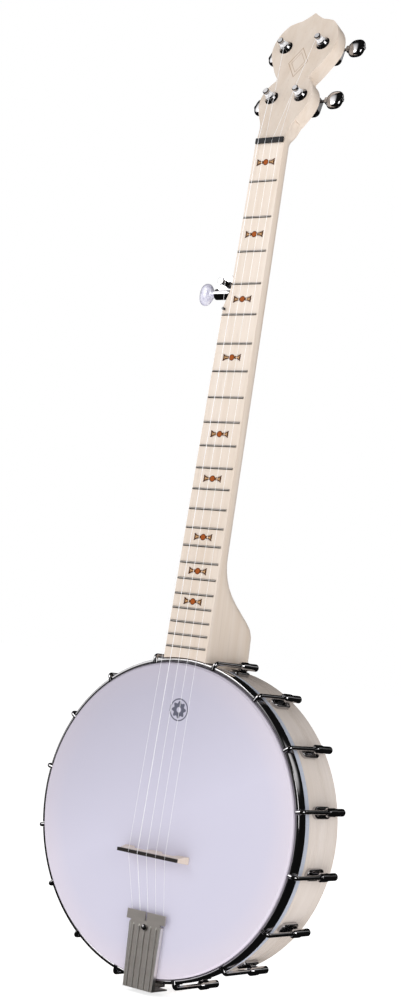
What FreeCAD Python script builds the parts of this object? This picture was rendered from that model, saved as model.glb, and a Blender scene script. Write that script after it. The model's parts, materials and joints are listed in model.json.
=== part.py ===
"""Open-back five-string banjo, built as an assembly of separate pieces.

Frame: the origin is on the centre line of the fingerboard face at the nut, where a hanger's
fork holds the neck. +Z runs up towards the peghead, the head faces -Y, and +X is the treble
side. Three working frames hang from it: the neck's, the peghead's and the pot's. In each one
x runs across, y runs up the instrument and z points out of the playing face.
"""
import FreeCAD, Part
import math
import os
import re

import Sketcher
from FreeCAD import Placement, Rotation, Vector

# name: (value in mm, degrees or a count, what it is)
SIZES = {
    # neck
    "scale_length": (666.75, "nut to bridge, along the neck"),
    "neck_tilt": (3.54, "degrees that the neck leans back from the pot's plane"),
    "fret_count": (22, "number of frets"),
    "nut_bass": (16.0, "centre line to the bass edge above the fifth peg"),
    "nut_treble": (16.9, "centre line to the treble edge at the nut"),
    "treble_flare": (0.0163, "how much the treble edge widens per mm"),
    "board_bass": (22.3, "centre line to the bass edge below the fifth peg"),
    "step_before": (29.3, "start of the bass step-out, before the fifth fret"),
    "step_long": (26.0, "bass step-out, along the neck"),
    "board_side": (3.2, "depth of the flat side of the neck"),
    "neck_depth_nut": (20.0, "neck depth at the nut"),
    "neck_depth_heel": (25.5, "neck depth where the heel starts"),
    "heel_sweep": (65.0, "length of the heel's curve"),
    "heel_flat": (35.6, "heel at full depth, from the curve to the rim"),
    "heel_proud": (10.5, "heel cap behind the rim's back edge"),
    "heel_cap": (20.0, "half width of the heel cap"),
    "fret_inset": (1.0, "fret end to the bass edge of the board"),
    "fret_inset_treble": (2.1, "fret end to the treble edge of the board"),
    "fret_width": (2.0, "fret crown width"),
    "fret_height": (1.0, "fret crown height"),
    "nut_height": (2.0, "nut above the board"),
    "nut_length": (5.0, "nut along the neck"),
    "marker_length": (20.5, "bow-tie marker, across the neck"),
    "marker_height": (6.9, "bow-tie marker, along the neck"),
    "marker_depth": (0.6, "bow-tie marker, into the board"),
    # peghead
    "peghead_angle": (15.0, "degrees that the peghead leans back from the board"),
    "peghead_depth": (15.0, "peghead thickness"),
    "upper_post_across": (21.2, "centre line to an upper string post"),
    "upper_post_up": (114.0, "nut to the upper string posts"),
    "lower_post_across": (16.7, "centre line to a lower string post"),
    "lower_post_up": (53.8, "nut to the lower string posts"),
    # geared tuners
    "gear_module": (0.7, "tooth size of the worm gears"),
    "gear_teeth": (14, "teeth on each worm wheel"),
    "worm_pitch_dia": (4.0, "pitch diameter of the worm"),
    "gear_width": (2.4, "worm wheel width"),
    "gear_axis_depth": (5.6, "worm axis behind the peghead's back"),
    "post_dia": (6.0, "string post"),
    "post_height": (12.0, "string post above the peghead face"),
    "bush_dia": (9.6, "bushing through the peghead"),
    "collar_dia": (14.6, "tuner washer"),
    "shaft_dia": (3.0, "worm shaft"),
    "button_reach": (25.0, "string post to the button's centre"),
    "button_long": (16.5, "button along its shaft"),
    "button_tall": (19.0, "button across its face"),
    "button_thick": (9.0, "button thickness"),
    "housing_wall": (1.6, "tuner casing wall"),
    "running_fit": (0.05, "radial clearance of turning fits"),
    # fifth peg
    "peg_module": (1.0, "tooth size of the fifth peg's gears"),
    "peg_worm_dia": (5.0, "pitch diameter of the fifth peg's worm"),
    "peg_before": (31.8, "fifth peg's post, before the fifth fret"),
    "peg_post_across": (26.4, "centre line to the fifth peg's post"),
    "peg_axis_depth": (8.0, "fifth peg's worm axis below the board face"),
    "peg_post_rise": (4.4, "fifth peg's post above the board face"),
    "peg_barrel_dia": (10.4, "fifth peg's barrel"),
    "peg_button_across": (47.8, "centre line to the fifth button's centre"),
    "pip_before": (5.5, "fifth string's rest, before the fifth fret"),
    "pip_across": (19.8, "centre line to the fifth string's rest"),
    # pot
    "bridge_below": (32.0, "pot's centre to the bridge, towards the tail"),
    "hoop_forward": (28.4, "hoop's front face in front of the board face at the nut"),
    "rim_radius": (139.4, "outside of the wooden rim"),
    "ply": (4.23, "one ply of the rim"),
    "rim_back": (70.0, "rim's back edge behind the hoop's front face"),
    "head_rise": (3.4, "head in front of the hoop's front face"),
    "head_skin": (0.3, "head film"),
    "hoop_gap": (1.1, "rim's outside to the tension hoop's inside"),
    "hoop_thick": (3.5, "tension hoop, inside to outside"),
    "hoop_height": (11.4, "tension hoop, front to back"),
    "flesh_width": (3.5, "rim's outside to the flesh hoop's outside"),
    "flesh_height": (7.0, "flesh hoop, front to back"),
    "hooks_per_side": (8, "bracket hooks on each side"),
    "first_hook": (13.4, "degrees from the neck to the first hook"),
    "hook_stand": (3.7, "tension hoop's outside to the middle of a hook's shaft"),
    "hook_dia": (4.0, "hook wire"),
    "hook_end": (61.0, "hook's threaded end behind the hoop's front face"),
    "notch_depth": (3.2, "hook notch in the hoop"),
    "shoe_front": (28.0, "shoe's front end behind the hoop's front face"),
    "shoe_length": (26.0, "shoe, front to back"),
    "shoe_width": (11.0, "shoe, across"),
    "shoe_thick": (3.4, "shoe plate"),
    "shoe_rim": (1.9, "raised rim round the shoe's dished face"),
    "lug_back": (48.5, "back of the shoe's lug behind the hoop's front face"),
    "lug_length": (7.5, "shoe lug that the hook passes through"),
    "nut_dia": (6.8, "bracket nut body"),
    "bracket_nut_length": (17.5, "bracket nut"),
    "screw_dia": (3.4, "shoe screw"),
    # rods and bolts
    "rod_dia": (9.5, "coordinator rod"),
    "rod_stud": (6.3, "threaded ends of the rod"),
    "rod_back": (51.0, "rod axis behind the hoop's front face"),
    "lag_back": (32.0, "upper heel bolt behind the hoop's front face"),
    "tail_stud": (15.0, "rod's tail end past the rim's outside"),
    "heel_stud": (29.6, "studs into the heel, past the rim's outside"),
    # bridge and tailpiece
    "bridge_length": (67.0, "bridge top"),
    "bridge_height": (15.9, "bridge, head to top"),
    "bridge_top": (3.0, "bridge thickness at the top"),
    "bridge_base": (6.4, "bridge thickness at the feet"),
    "ebony_height": (2.4, "dark cap of the bridge"),
    "string_gap": (10.3, "string spacing at the bridge"),
    "nut_string_gap": (7.9, "string spacing at the nut"),
    "tail_top": (83.0, "pot's centre to the tailpiece's front bar"),
    "tail_bar": (43.0, "tailpiece front bar, across"),
    "tail_bar_height": (8.6, "tailpiece front bar, along"),
    "tail_body": (36.0, "tailpiece body, across, below the bar"),
    "tail_foot": (32.5, "tailpiece body, across, at its bend"),
    "tail_rise": (7.8, "tailpiece face in front of the hoop's front face"),
    "tail_sheet": (1.2, "tailpiece sheet"),
    "tail_fold": (4.0, "depth of the tailpiece's folded sides"),
    "tail_reach": (11.1, "rim's outside to the outside of the tailpiece's bend"),
}

# sizes that follow from the driving ones: name: expression
DERIVED = {
    "hoop_inner": "rim_radius + hoop_gap",
    "hoop_outer": "hoop_inner + hoop_thick",
    "flesh_outer": "rim_radius + flesh_width",
    "hook_radius": "hoop_outer + hook_stand",
    "heel_back": "rim_back + heel_proud",
    "tail_end": "rim_radius + tail_reach",
    "string_fall": "head_rise + bridge_height + hoop_forward",
    "pot_below": "sqrt(scale_length ^ 2 - string_fall ^ 2) - bridge_below",
    "fifth_fret": "scale_length * (1 - 2 ^ (-5 / 12))",
    "step_start": "fifth_fret - step_before",
    "step_end": "step_start + step_long",
    "peg_post_along": "fifth_fret - peg_before",
    "pip_along": "fifth_fret - pip_before",
    "neck_end": "pot_below - rim_radius",
    "heel_full": "neck_end - heel_flat",
    "heel_start": "heel_full - heel_sweep",
}

doc = FreeCAD.newDocument("banjo")
sheet = doc.addObject("Spreadsheet::Sheet", "Sizes")
for row, (alias, (amount, note)) in enumerate(SIZES.items(), start=1):
    sheet.set("A%d" % row, alias)
    sheet.set("B%d" % row, str(amount))
    sheet.set("C%d" % row, note)
    sheet.setAlias("B%d" % row, alias)
doc.recompute()


def spelled_out(text):
    """Put a derived size's own expression in its place, down to the driving sizes."""
    while any(name in DERIVED for name in re.findall(r"[a-z_]+", text)):
        text = re.sub(
            r"[a-z_]+",
            lambda word: "(%s)" % DERIVED[word[0]] if word[0] in DERIVED else word[0],
            text,
        )
    return text


def amount_of(text):
    """The present value of an expression."""
    value = sheet.evalExpression(spelled_out(text))
    return float(getattr(value, "Value", value))


class Size:
    """Reads a size by its name: a driving one from the sheet, or one that follows from them."""

    def __getattr__(self, name):
        amount = amount_of(name) if name in DERIVED else sheet.get(name)
        setattr(self, name, amount)
        return amount


size = Size()

STRING_RADII = (0.13, 0.14, 0.17, 0.26, 0.13)
TURN = 360.0
CLEAR = 0.02
EAR_BELOW = 11.4
EAR_SCREW = 1.2
SPIGOT = 3.6
SPIGOT_END = 6.5
PIP_SHANK = 1.1
DISH_FLOOR = 2.0
SHANK_END = 1.5
LUG_RADIUS = 4.1

neck_frame = Placement(Vector(), Rotation(Vector(1, 0, 0), 90 - size.neck_tilt))
peghead_frame = Placement(
    Vector(), Rotation(Vector(1, 0, 0), 90 - size.neck_tilt - size.peghead_angle)
)
pot_frame = Placement(
    Vector(0, -size.hoop_forward, -size.pot_below), Rotation(Vector(1, 0, 0), 90)
)
finished = []


# ---------------------------------------------------------------- building helpers


def bound(text):
    """Point every alias in an expression at the sheet."""
    return re.sub(
        r"[a-z_]+",
        lambda word: "Sizes." + word.group() if word.group() in SIZES else word.group(),
        spelled_out(text),
    )


def new_body(label, frame):
    """A body for one piece, in one of the working frames."""
    body = doc.addObject("PartDesign::Body", label)
    body.Label = label
    body.Placement = frame
    return body


def new_sketch(body, role, offset="0"):
    """A sketch on one of the body's own origin planes, moved along its normal."""
    sketch = body.newObject("Sketcher::SketchObject", body.Label + "_sketch")
    origin_plane = next(item for item in body.Origin.OriginFeatures if item.Role == role)
    sketch.AttachmentSupport = [(origin_plane, "")]
    sketch.MapMode = "FlatFace"
    sketch.setExpression("AttachmentOffset.Base.z", bound(offset))
    return sketch


def outline(sketch, corners):
    """A closed outline; each corner is a pair of expressions measured from the origin."""
    places = [Vector(amount_of(across), amount_of(up), 0) for across, up in corners]
    first = sketch.GeometryCount
    count = len(places)
    for index in range(count):
        sketch.addGeometry(Part.LineSegment(places[index], places[(index + 1) % count]))
    for index in range(count):
        after = first + (index + 1) % count
        sketch.addConstraint(Sketcher.Constraint("Coincident", first + index, 2, after, 1))
    for index, (across, up) in enumerate(corners):
        for kind, text, value in (
            ("DistanceX", across, places[index].x),
            ("DistanceY", up, places[index].y),
        ):
            number = sketch.addConstraint(
                Sketcher.Constraint(kind, -1, 1, first + index, 1, value)
            )
            sketch.setExpression("Constraints[%d]" % number, bound(text))


def circle(sketch, across, up, radius):
    """A circle whose centre and radius are expressions."""
    centre = Vector(amount_of(across), amount_of(up), 0)
    number = sketch.addGeometry(Part.Circle(centre, Vector(0, 0, 1), amount_of(radius)))
    for kind, text, value in (("DistanceX", across, centre.x), ("DistanceY", up, centre.y)):
        limit = sketch.addConstraint(Sketcher.Constraint(kind, -1, 1, number, 3, value))
        sketch.setExpression("Constraints[%d]" % limit, bound(text))
    limit = sketch.addConstraint(Sketcher.Constraint("Radius", number, amount_of(radius)))
    sketch.setExpression("Constraints[%d]" % limit, bound(radius))


def pad(body, sketch, length, backwards=False):
    """Thicken a sketch along its normal."""
    feature = body.newObject("PartDesign::Pad", body.Label + "_pad")
    feature.Profile = sketch
    feature.setExpression("Length", bound(length))
    feature.Reversed = backwards
    return feature


def pocket(body, sketch, length, backwards=False):
    """Cut a sketch away, against its normal unless it is turned round."""
    feature = body.newObject("PartDesign::Pocket", body.Label + "_pocket")
    feature.Profile = sketch
    feature.setExpression("Length", bound(length))
    feature.Reversed = backwards
    return feature


def turned(label, frame, corners):
    """A body turned about its own z axis; corners are (radius, z) expressions."""
    body = new_body(label, frame)
    sketch = new_sketch(body, "XZ_Plane")
    outline(sketch, corners)
    feature = body.newObject("PartDesign::Revolution", label + "_turn")
    feature.Profile = sketch
    feature.ReferenceAxis = (sketch, ["V_Axis"])
    feature.Angle = TURN
    return body


def keep(piece):
    """Put a piece on the list of nodes to write."""
    finished.append(piece)
    return piece


def group(label, frame, shapes):
    """One node made of separate solids, or a piece shaped by Part's own functions."""
    piece = doc.addObject("Part::Feature", label)
    piece.Label = label
    piece.Shape = shapes[0] if len(shapes) == 1 else Part.makeCompound(shapes)
    piece.Placement = frame
    return keep(piece)


def rod(radius, start, end):
    """A plain cylinder between two points."""
    return Part.makeCylinder(radius, (end - start).Length, start, end - start)


def hexagon(across_flats, height, base, axis):
    """A hexagonal prism standing on a point along an axis."""
    corner = across_flats / math.sqrt(3)
    ring = [
        Vector(corner * math.cos(math.radians(60 * k)), corner * math.sin(math.radians(60 * k)), 0)
        for k in range(6)
    ]
    prism = Part.Face(Part.makePolygon(ring + ring[:1])).extrude(Vector(0, 0, height))
    prism.Placement = Placement(base, Rotation(Vector(0, 0, 1), axis))
    return prism


def moved(shape, frame):
    """A copy of a shape carried into a frame."""
    copy = shape.copy()
    copy.Placement = frame.multiply(copy.Placement)
    return copy


def spun(shape, angle):
    """A copy of a pot fitting turned clockwise from the neck, as seen from the front."""
    return moved(shape, Placement(Vector(), Rotation(Vector(0, 0, 1), -angle)))


# ---------------------------------------------------------------- shared geometry


def fret_distance(number):
    """Nut to fret, in equal temperament."""
    return size.scale_length * (1 - 2 ** (-number / 12))


def smooth(start, end, place):
    """0 before start, 1 after end, with level ends between."""
    share = min(max((place - start) / (end - start), 0), 1)
    return share * share * (3 - 2 * share)


def bass_edge(along):
    """Centre line to the bass edge, at a distance down from the nut."""
    step = smooth(size.step_start, size.step_end, along)
    return size.nut_bass + (size.board_bass - size.nut_bass) * step


def treble_edge(along):
    """Centre line to the treble edge, at a distance down from the nut."""
    return size.nut_treble + size.treble_flare * max(along, 0)


def hook_angles():
    """Angles of all hooks, counted clockwise from the neck."""
    step = (180 - 2 * size.first_hook) / (size.hooks_per_side - 1)
    right = [size.first_hook + index * step for index in range(int(size.hooks_per_side))]
    return right + [-angle for angle in right]


def string_across_nut(number):
    """Across-the-neck place of strings 1 to 4 at the nut, treble first."""
    return size.nut_string_gap * (2.5 - number)


def string_across_bridge(number):
    """Across-the-head place of strings 1 to 5 at the bridge, treble first."""
    return size.string_gap * (3 - number)


def bridge_place():
    """Pot-frame height of the bridge."""
    return -size.bridge_below


# ---------------------------------------------------------------- neck


def neck_depth(along):
    """Depth of the neck behind the board, thickening slowly and then sweeping into the heel."""
    heel_depth = size.heel_back + along * math.sin(math.radians(size.neck_tilt)) - size.hoop_forward
    slim = size.neck_depth_nut + (size.neck_depth_heel - size.neck_depth_nut) * (
        max(along, 0) / size.heel_start
    )
    share = min(max((along - size.heel_start) / size.heel_sweep, 0), 1)
    sweep = 1 - (1 - share**3.1) ** 2.2
    return slim + (heel_depth - slim) * sweep


def neck_section(along):
    """Cross-section of the neck: flat face, short sides and a rounded back that narrows to the cap.

    Above the nut the sections widen with the peghead's outline and grow as square as it is.
    """
    above = smooth(0, BLEND_UP - 6, -along)
    face = max(0, -along * math.tan(math.radians(size.peghead_angle)))
    depth = neck_depth(along) if along >= 0 else face + (
        size.neck_depth_nut * (1 - above) + size.peghead_depth * above
    ) * (1 + 0.04 * above)
    side = face + size.board_side * (1 - above) + 1.0 * above
    heel = smooth(size.heel_start, size.heel_full, along)
    square = 2 + 3 * heel + 20 * above**2
    narrow = heel * (1 - size.heel_cap / size.board_bass)

    def halves(down):
        """Half widths on the treble and the bass side, at a depth behind the board's plane."""
        if along >= 0:
            return treble_edge(along), bass_edge(along)
        lean = math.radians(size.peghead_angle)
        half = peghead_half(down * math.sin(lean) - along * math.cos(lean))
        near = smooth(-8, 0, along)
        return half + (size.nut_treble - half) * near, half + (size.nut_bass - half) * near

    back = []
    steps = 22
    for index in range(steps + 1):
        angle = math.pi * index / steps
        fall = math.sin(angle) ** (2 / square) if 0 < index < steps else 0
        reach = abs(math.cos(angle)) ** (2 / square) * (1 - narrow * fall)
        down = side + (depth - side) * fall
        treble, bass = halves(down)
        back.append(Vector(treble * reach if angle < math.pi / 2 else -bass * reach, -along, -down))
    curve = Part.BSplineCurve()
    curve.interpolate(back)
    treble, bass = halves(face)
    treble_corner = Vector(treble, -along, -face)
    bass_corner = Vector(-bass, -along, -face)
    edges = [
        Part.makeLine(bass_corner, treble_corner),
        Part.makeLine(treble_corner, back[0]),
        curve.toShape(),
        Part.makeLine(back[-1], bass_corner),
    ]
    return Part.Wire(edges)


def spread(start, end, count):
    """Evenly spaced places from start up to, but without, end."""
    return [start + (end - start) * index / count for index in range(count)]


def neck_shaft():
    """The neck and heel as one loft through its sections."""
    past_rim = size.neck_end + 12
    stations = spread(-BLEND_UP, 0, 10) + spread(0, size.step_start, 5)
    stations += spread(size.step_start, size.step_end, 5) + spread(size.step_end, size.heel_start, 6)
    stations += spread(size.heel_start, size.heel_full, 10) + spread(size.heel_full, past_rim, 3)
    loft = Part.makeLoft([neck_section(along) for along in stations + [past_rim]], True, True)
    shaft = doc.addObject("Part::Feature", "neck_shaft")
    shaft.Shape = loft
    shaft.Placement = neck_frame
    return shaft


# right half of the peghead outline, from the nut up, as (across, up) points
PEGHEAD_LOWER = [
    (16.2, 0.0), (16.5, 10), (18.8, 22.7), (24.6, 34.5),
    (28.8, 46), (28.6, 58), (24.6, 67), (18.4, 73.6),
]
PEGHEAD_UPPER = [
    (18.4, 76.4), (24, 84), (30.4, 95.5), (35.6, 107), (36.6, 117.5), (33.4, 130), (24.6, 141.2),
]
PEGHEAD_SHOULDER = [(24.6, 141.2), (18.4, 143.2), (12.4, 144.6)]
PEGHEAD_TIP = [(12.4, 144.6), (6.2, 148.4), (0.0, 153.2)]
BLEND_UP = 30.0


def curve_through(points):
    """A smooth curve through flat points."""
    curve = Part.BSplineCurve()
    curve.interpolate([Vector(across, up, 0) for across, up in points])
    return curve


def peghead_half(up):
    """Half width of the peghead's lower part, at a distance up from the nut."""
    low = LOWER_CURVE.FirstParameter
    high = LOWER_CURVE.LastParameter
    for _ in range(24):
        middle = (low + high) / 2
        if LOWER_CURVE.value(middle).y < up:
            low = middle
        else:
            high = middle
    return LOWER_CURVE.value(low).x


def peghead_curves():
    """Right half of the peghead outline, from the nut up, as curves."""
    upper = [curve_through(line) for line in (PEGHEAD_UPPER, PEGHEAD_SHOULDER, PEGHEAD_TIP)]
    return [LOWER_CURVE] + upper


LOWER_CURVE = curve_through(PEGHEAD_LOWER)


def peghead_blank():
    """The fiddle-shaped peghead: one outline, mirrored across the centre line and padded."""
    body = new_body("peghead", peghead_frame)
    sketch = new_sketch(body, "XY_Plane")
    for curve in peghead_curves():
        sketch.addGeometry(curve)
        other = curve.copy()
        other.transform(FreeCAD.Matrix(-1, 0, 0, 0, 0, 1, 0, 0, 0, 0, 1, 0))
        sketch.addGeometry(other)
    for sign in (1, -1):
        corner = Vector(sign * PEGHEAD_LOWER[-1][0], PEGHEAD_LOWER[-1][1], 0)
        sketch.addGeometry(
            Part.LineSegment(corner, Vector(sign * PEGHEAD_UPPER[0][0], PEGHEAD_UPPER[0][1], 0))
        )
    foot = PEGHEAD_LOWER[0]
    sketch.addGeometry(
        Part.LineSegment(Vector(-foot[0], foot[1], 0), Vector(foot[0], foot[1], 0))
    )
    pad(body, sketch, "peghead_depth", backwards=True)
    below = new_sketch(body, "XY_Plane", "1")
    edge = BLEND_UP - 4
    outline(below, [("-40", "-5"), ("40", "-5"), ("40", "%g" % edge), ("-40", "%g" % edge)])
    pocket(body, below, "peghead_depth + 3")
    return body


def tuner_places():
    """String number, hand and peghead place of the four tuners."""
    low = (size.lower_post_across, size.lower_post_up)
    high = (size.upper_post_across, size.upper_post_up)
    return [(1, 1, low), (2, 1, high), (3, -1, high), (4, -1, low)]


def peg_worm_distance():
    """Worm axis to post axis in the fifth peg."""
    return (size.peg_module * size.gear_teeth + size.peg_worm_dia) / 2


def peg_tip_radius():
    """Radius over the teeth of the fifth peg's wheel."""
    return size.peg_module * (size.gear_teeth / 2 + 0.9)


def peg_case_radius():
    """Outside radius of the fifth peg's gear case."""
    return peg_tip_radius() + 1.3


def neck_cutters():
    """Everything that is taken out of the neck blank, in the world frame."""
    cutters = []
    pot_wall = rod(size.rim_radius + CLEAR, Vector(0, 0, -size.heel_back - 30), Vector(0, 0, 60))
    pot_hoops = rod(
        size.hoop_outer + 0.7,
        Vector(0, 0, -size.hoop_height - size.flesh_height - 1),
        Vector(0, 0, 60),
    )
    cutters += [moved(shape, pot_frame) for shape in (pot_wall, pot_hoops)]
    bottom = size.rim_radius + size.heel_stud + 2
    for back in (size.lag_back, size.rod_back):
        hole = rod(
            size.rod_stud / 2 + CLEAR, Vector(0, size.rim_radius - 20, -back), Vector(0, bottom, -back)
        )
        cutters.append(moved(hole, pot_frame))
    for _, hand, (across, up) in tuner_places():
        hole = rod(
            size.bush_dia / 2 + CLEAR, Vector(hand * across, up, -30), Vector(hand * across, up, 10)
        )
        ear = up - EAR_BELOW
        screw = rod(
            EAR_SCREW + CLEAR, Vector(hand * across, ear, -30), Vector(hand * across, ear, -7)
        )
        cutters += [moved(hole, peghead_frame), moved(screw, peghead_frame)]
    down = -(size.peg_post_along + peg_worm_distance())
    spigot = rod(
        SPIGOT + CLEAR,
        Vector(-size.peg_button_across, down, -size.peg_axis_depth),
        Vector(-SPIGOT_END + 0.5, down, -size.peg_axis_depth),
    )
    pip = rod(
        PIP_SHANK + CLEAR,
        Vector(-size.pip_across, -size.pip_along, -4),
        Vector(-size.pip_across, -size.pip_along, 5),
    )
    cutters += [moved(spigot, neck_frame), moved(pip, neck_frame)]
    cutters.append(moved(peg_pocket(), neck_frame))
    for distance in marker_places():
        cutters += [moved(shape, neck_frame) for shape in marker_shapes(distance, 2.0)]
    return cutters


def peg_pocket():
    """Room beside the neck for the fifth peg's gear case."""
    place = Vector(-size.peg_post_across, -size.peg_post_along, -30)
    return Part.makeCylinder(peg_case_radius() + 0.6, 60, place, Vector(0, 0, 1))


def build_neck():
    """One piece of maple: shaft, heel and peghead, bored for its hardware."""
    blank = doc.addObject("Part::Fuse", "neck_blank")
    blank.Base = neck_shaft()
    blank.Tool = peghead_blank()
    tools = doc.addObject("Part::Feature", "neck_cuts")
    tools.Shape = Part.makeCompound(neck_cutters())
    neck = doc.addObject("Part::Cut", "neck")
    neck.Label = "neck"
    neck.Base = blank
    neck.Tool = tools
    keep(neck)


def build_frets():
    """Crowned wires laid across the board at equal-tempered distances."""
    wires = []
    half = size.fret_width / 2
    for number in range(1, int(size.fret_count) + 1):
        along = fret_distance(number)
        left = -bass_edge(along) + size.fret_inset
        right = treble_edge(along) - size.fret_inset_treble
        crown = Part.Arc(
            Vector(left, -along - half, CLEAR),
            Vector(left, -along, size.fret_height),
            Vector(left, -along + half, CLEAR),
        ).toShape()
        base = Part.makeLine(Vector(left, -along - half, CLEAR), Vector(left, -along + half, CLEAR))
        wires.append(Part.Face(Part.Wire([crown, base])).extrude(Vector(right - left, 0, 0)))
    group("frets", neck_frame, wires)


def build_nut():
    """Black nut across the board, with a slot for each of the four long strings."""
    body = new_body("nut", neck_frame)
    sketch = new_sketch(body, "XY_Plane", "0.02")
    outline(
        sketch,
        [
            ("0.9 - nut_bass", "0"),
            ("nut_treble - 0.9", "0"),
            ("nut_treble - 0.9", "nut_length"),
            ("0.9 - nut_bass", "nut_length"),
        ],
    )
    pad(body, sketch, "nut_height")
    slots = new_sketch(body, "XY_Plane", "nut_height + 0.02")
    for number in range(1, 5):
        middle = "nut_string_gap * %s" % (2.5 - number)
        outline(
            slots,
            [
                (middle + " - 0.45", "-1"),
                (middle + " + 0.45", "-1"),
                (middle + " + 0.45", "nut_length + 1"),
                (middle + " - 0.45", "nut_length + 1"),
            ],
        )
    pocket(body, slots, "1.1")
    keep(body)


def marker_places():
    """Distances from the nut to the nine position markers, midway between their frets."""
    return [
        (fret_distance(number - 1) + fret_distance(number)) / 2
        for number in (1, 3, 5, 7, 10, 12, 15, 17, 19)
    ]


def marker_shapes(along, rise):
    """A bow-tie inlay: two flared wings and a round centre, sunk into the board."""
    half = size.marker_length / 2
    tall = size.marker_height / 2
    middle = (treble_edge(along) - bass_edge(along) - size.fret_inset_treble) / 2
    base = -size.marker_depth
    wings = []
    for sign in (1, -1):
        ring = [
            Vector(middle + sign * 3.3, -along - tall * 0.42, base),
            Vector(middle + sign * half * 0.92, -along - tall, base),
            Vector(middle + sign * half, -along, base),
            Vector(middle + sign * half * 0.92, -along + tall, base),
            Vector(middle + sign * 3.3, -along + tall * 0.42, base),
        ]
        wing = Part.Face(Part.makePolygon(ring + ring[:1]))
        wings.append(wing.extrude(Vector(0, 0, size.marker_depth + rise)))
    disc = rod(3.1, Vector(middle, -along, base), Vector(middle, -along, rise))
    return wings + [disc]


def build_markers():
    """Nine bow-tie inlays behind frets 1, 3, 5, 7, 10, 12, 15, 17 and 19, flush with the board."""
    inlays = []
    for distance in marker_places():
        inlays += marker_shapes(distance, 0)
    group("position_markers", neck_frame, inlays)


def build_pip():
    """The small black post that stops the fifth string at the fifth fret."""
    body = turned(
        "fifth_string_pip",
        neck_frame.multiply(Placement(Vector(-size.pip_across, -size.pip_along, 0), Rotation())),
        [
            ("0", "-3.9"), ("%g" % PIP_SHANK, "-3.9"), ("%g" % PIP_SHANK, "fret_height + 0.2"),
            ("1.4", "fret_height + 1.6"), ("0", "fret_height + 1.6"),
        ],
    )
    keep(body)


# ---------------------------------------------------------------- pot


def shoe_middle():
    """Middle of a shoe, where its screw goes, behind the hoop's front face."""
    return size.shoe_front + size.shoe_length * 0.4


def fitting_holes():
    """Radial bores through the rim: sixteen shoe screws, the heel bolt and the rod."""
    holes = []
    middle = -shoe_middle()
    inside = size.rim_radius - 3 * size.ply - 10
    outside = size.rim_radius + 10
    for angle in hook_angles():
        hole = rod(size.screw_dia / 2 + 0.15, Vector(0, inside, middle), Vector(0, outside, middle))
        holes.append(spun(hole, angle))
    stud = size.rod_stud / 2 + CLEAR
    holes.append(rod(stud, Vector(0, inside, -size.lag_back), Vector(0, outside, -size.lag_back)))
    holes.append(rod(stud, Vector(0, -outside, -size.rod_back), Vector(0, outside, -size.rod_back)))
    return holes


def build_rim():
    """Three bent plies glued into one rim, each bored for the fittings."""
    tools = doc.addObject("Part::Feature", "rim_bores")
    tools.Shape = Part.makeCompound(fitting_holes())
    top = "head_rise - head_skin - 0.02"
    for index, name in enumerate(("outer", "middle", "inner")):
        outer = "rim_radius - %d * ply" % index
        inner = "rim_radius - %d * ply" % (index + 1)
        corners = [(inner, "-rim_back"), (outer, "-rim_back")]
        if name == "outer":
            corners += [(outer, top + " - 1.6"), (outer + " - 1.4", top), (inner, top)]
        elif name == "middle":
            corners += [(outer, top), (inner, top)]
        else:
            corners += [(outer, top), (inner + " + 2", top), (inner, top + " - 3")]
        blank = turned("rim_%s_blank" % name, Placement(), corners)
        ply = doc.addObject("Part::Cut", "rim_%s_ply" % name)
        ply.Label = "rim_%s_ply" % name
        ply.Base = blank
        ply.Tool = tools
        ply.Placement = pot_frame
        keep(ply)


def build_head():
    """The drum head: a flat film that turns over the rim and runs down into the flesh hoop."""
    keep(
        turned(
            "drum_head",
            pot_frame,
            [
                ("0", "head_rise - head_skin"),
                ("rim_radius - 1.4", "head_rise - head_skin"),
                ("rim_radius + 0.02", "head_rise - head_skin - 1.6"),
                ("rim_radius + 0.02", "-hoop_height - 3"),
                ("rim_radius + 0.02 + head_skin", "-hoop_height - 3"),
                ("rim_radius + 0.02 + head_skin", "head_rise - 1.5"),
                ("rim_radius - 1.3", "head_rise"),
                ("0", "head_rise"),
            ],
        )
    )
    keep(
        turned(
            "flesh_hoop",
            pot_frame,
            [
                ("rim_radius + 0.04 + head_skin", "-hoop_height - flesh_height"),
                ("flesh_outer", "-hoop_height - flesh_height"),
                ("flesh_outer", "-hoop_height - 0.02"),
                ("rim_radius + 0.04 + head_skin", "-hoop_height - 0.02"),
            ],
        )
    )


def build_tension_hoop():
    """The notched hoop that pulls the head down, one notch for each hook."""
    blank = turned(
        "hoop_blank",
        Placement(),
        [
            ("hoop_inner", "-hoop_height"), ("hoop_outer", "-hoop_height"),
            ("hoop_outer", "-1.1"), ("hoop_outer - 1.1", "0"), ("hoop_inner", "0"),
        ],
    )
    tools = doc.addObject("Part::Feature", "hoop_notches")
    width = size.hook_dia + 0.6
    notch = Part.makeBox(
        width, size.hoop_thick + 8, size.notch_depth + 5,
        Vector(-width / 2, size.hoop_inner - 4, -size.notch_depth),
    )
    tools.Shape = Part.makeCompound([spun(notch, angle) for angle in hook_angles()])
    hoop = doc.addObject("Part::Cut", "tension_hoop")
    hoop.Label = "tension_hoop"
    hoop.Base = blank
    hoop.Tool = tools
    hoop.Placement = pot_frame
    keep(hoop)


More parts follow.
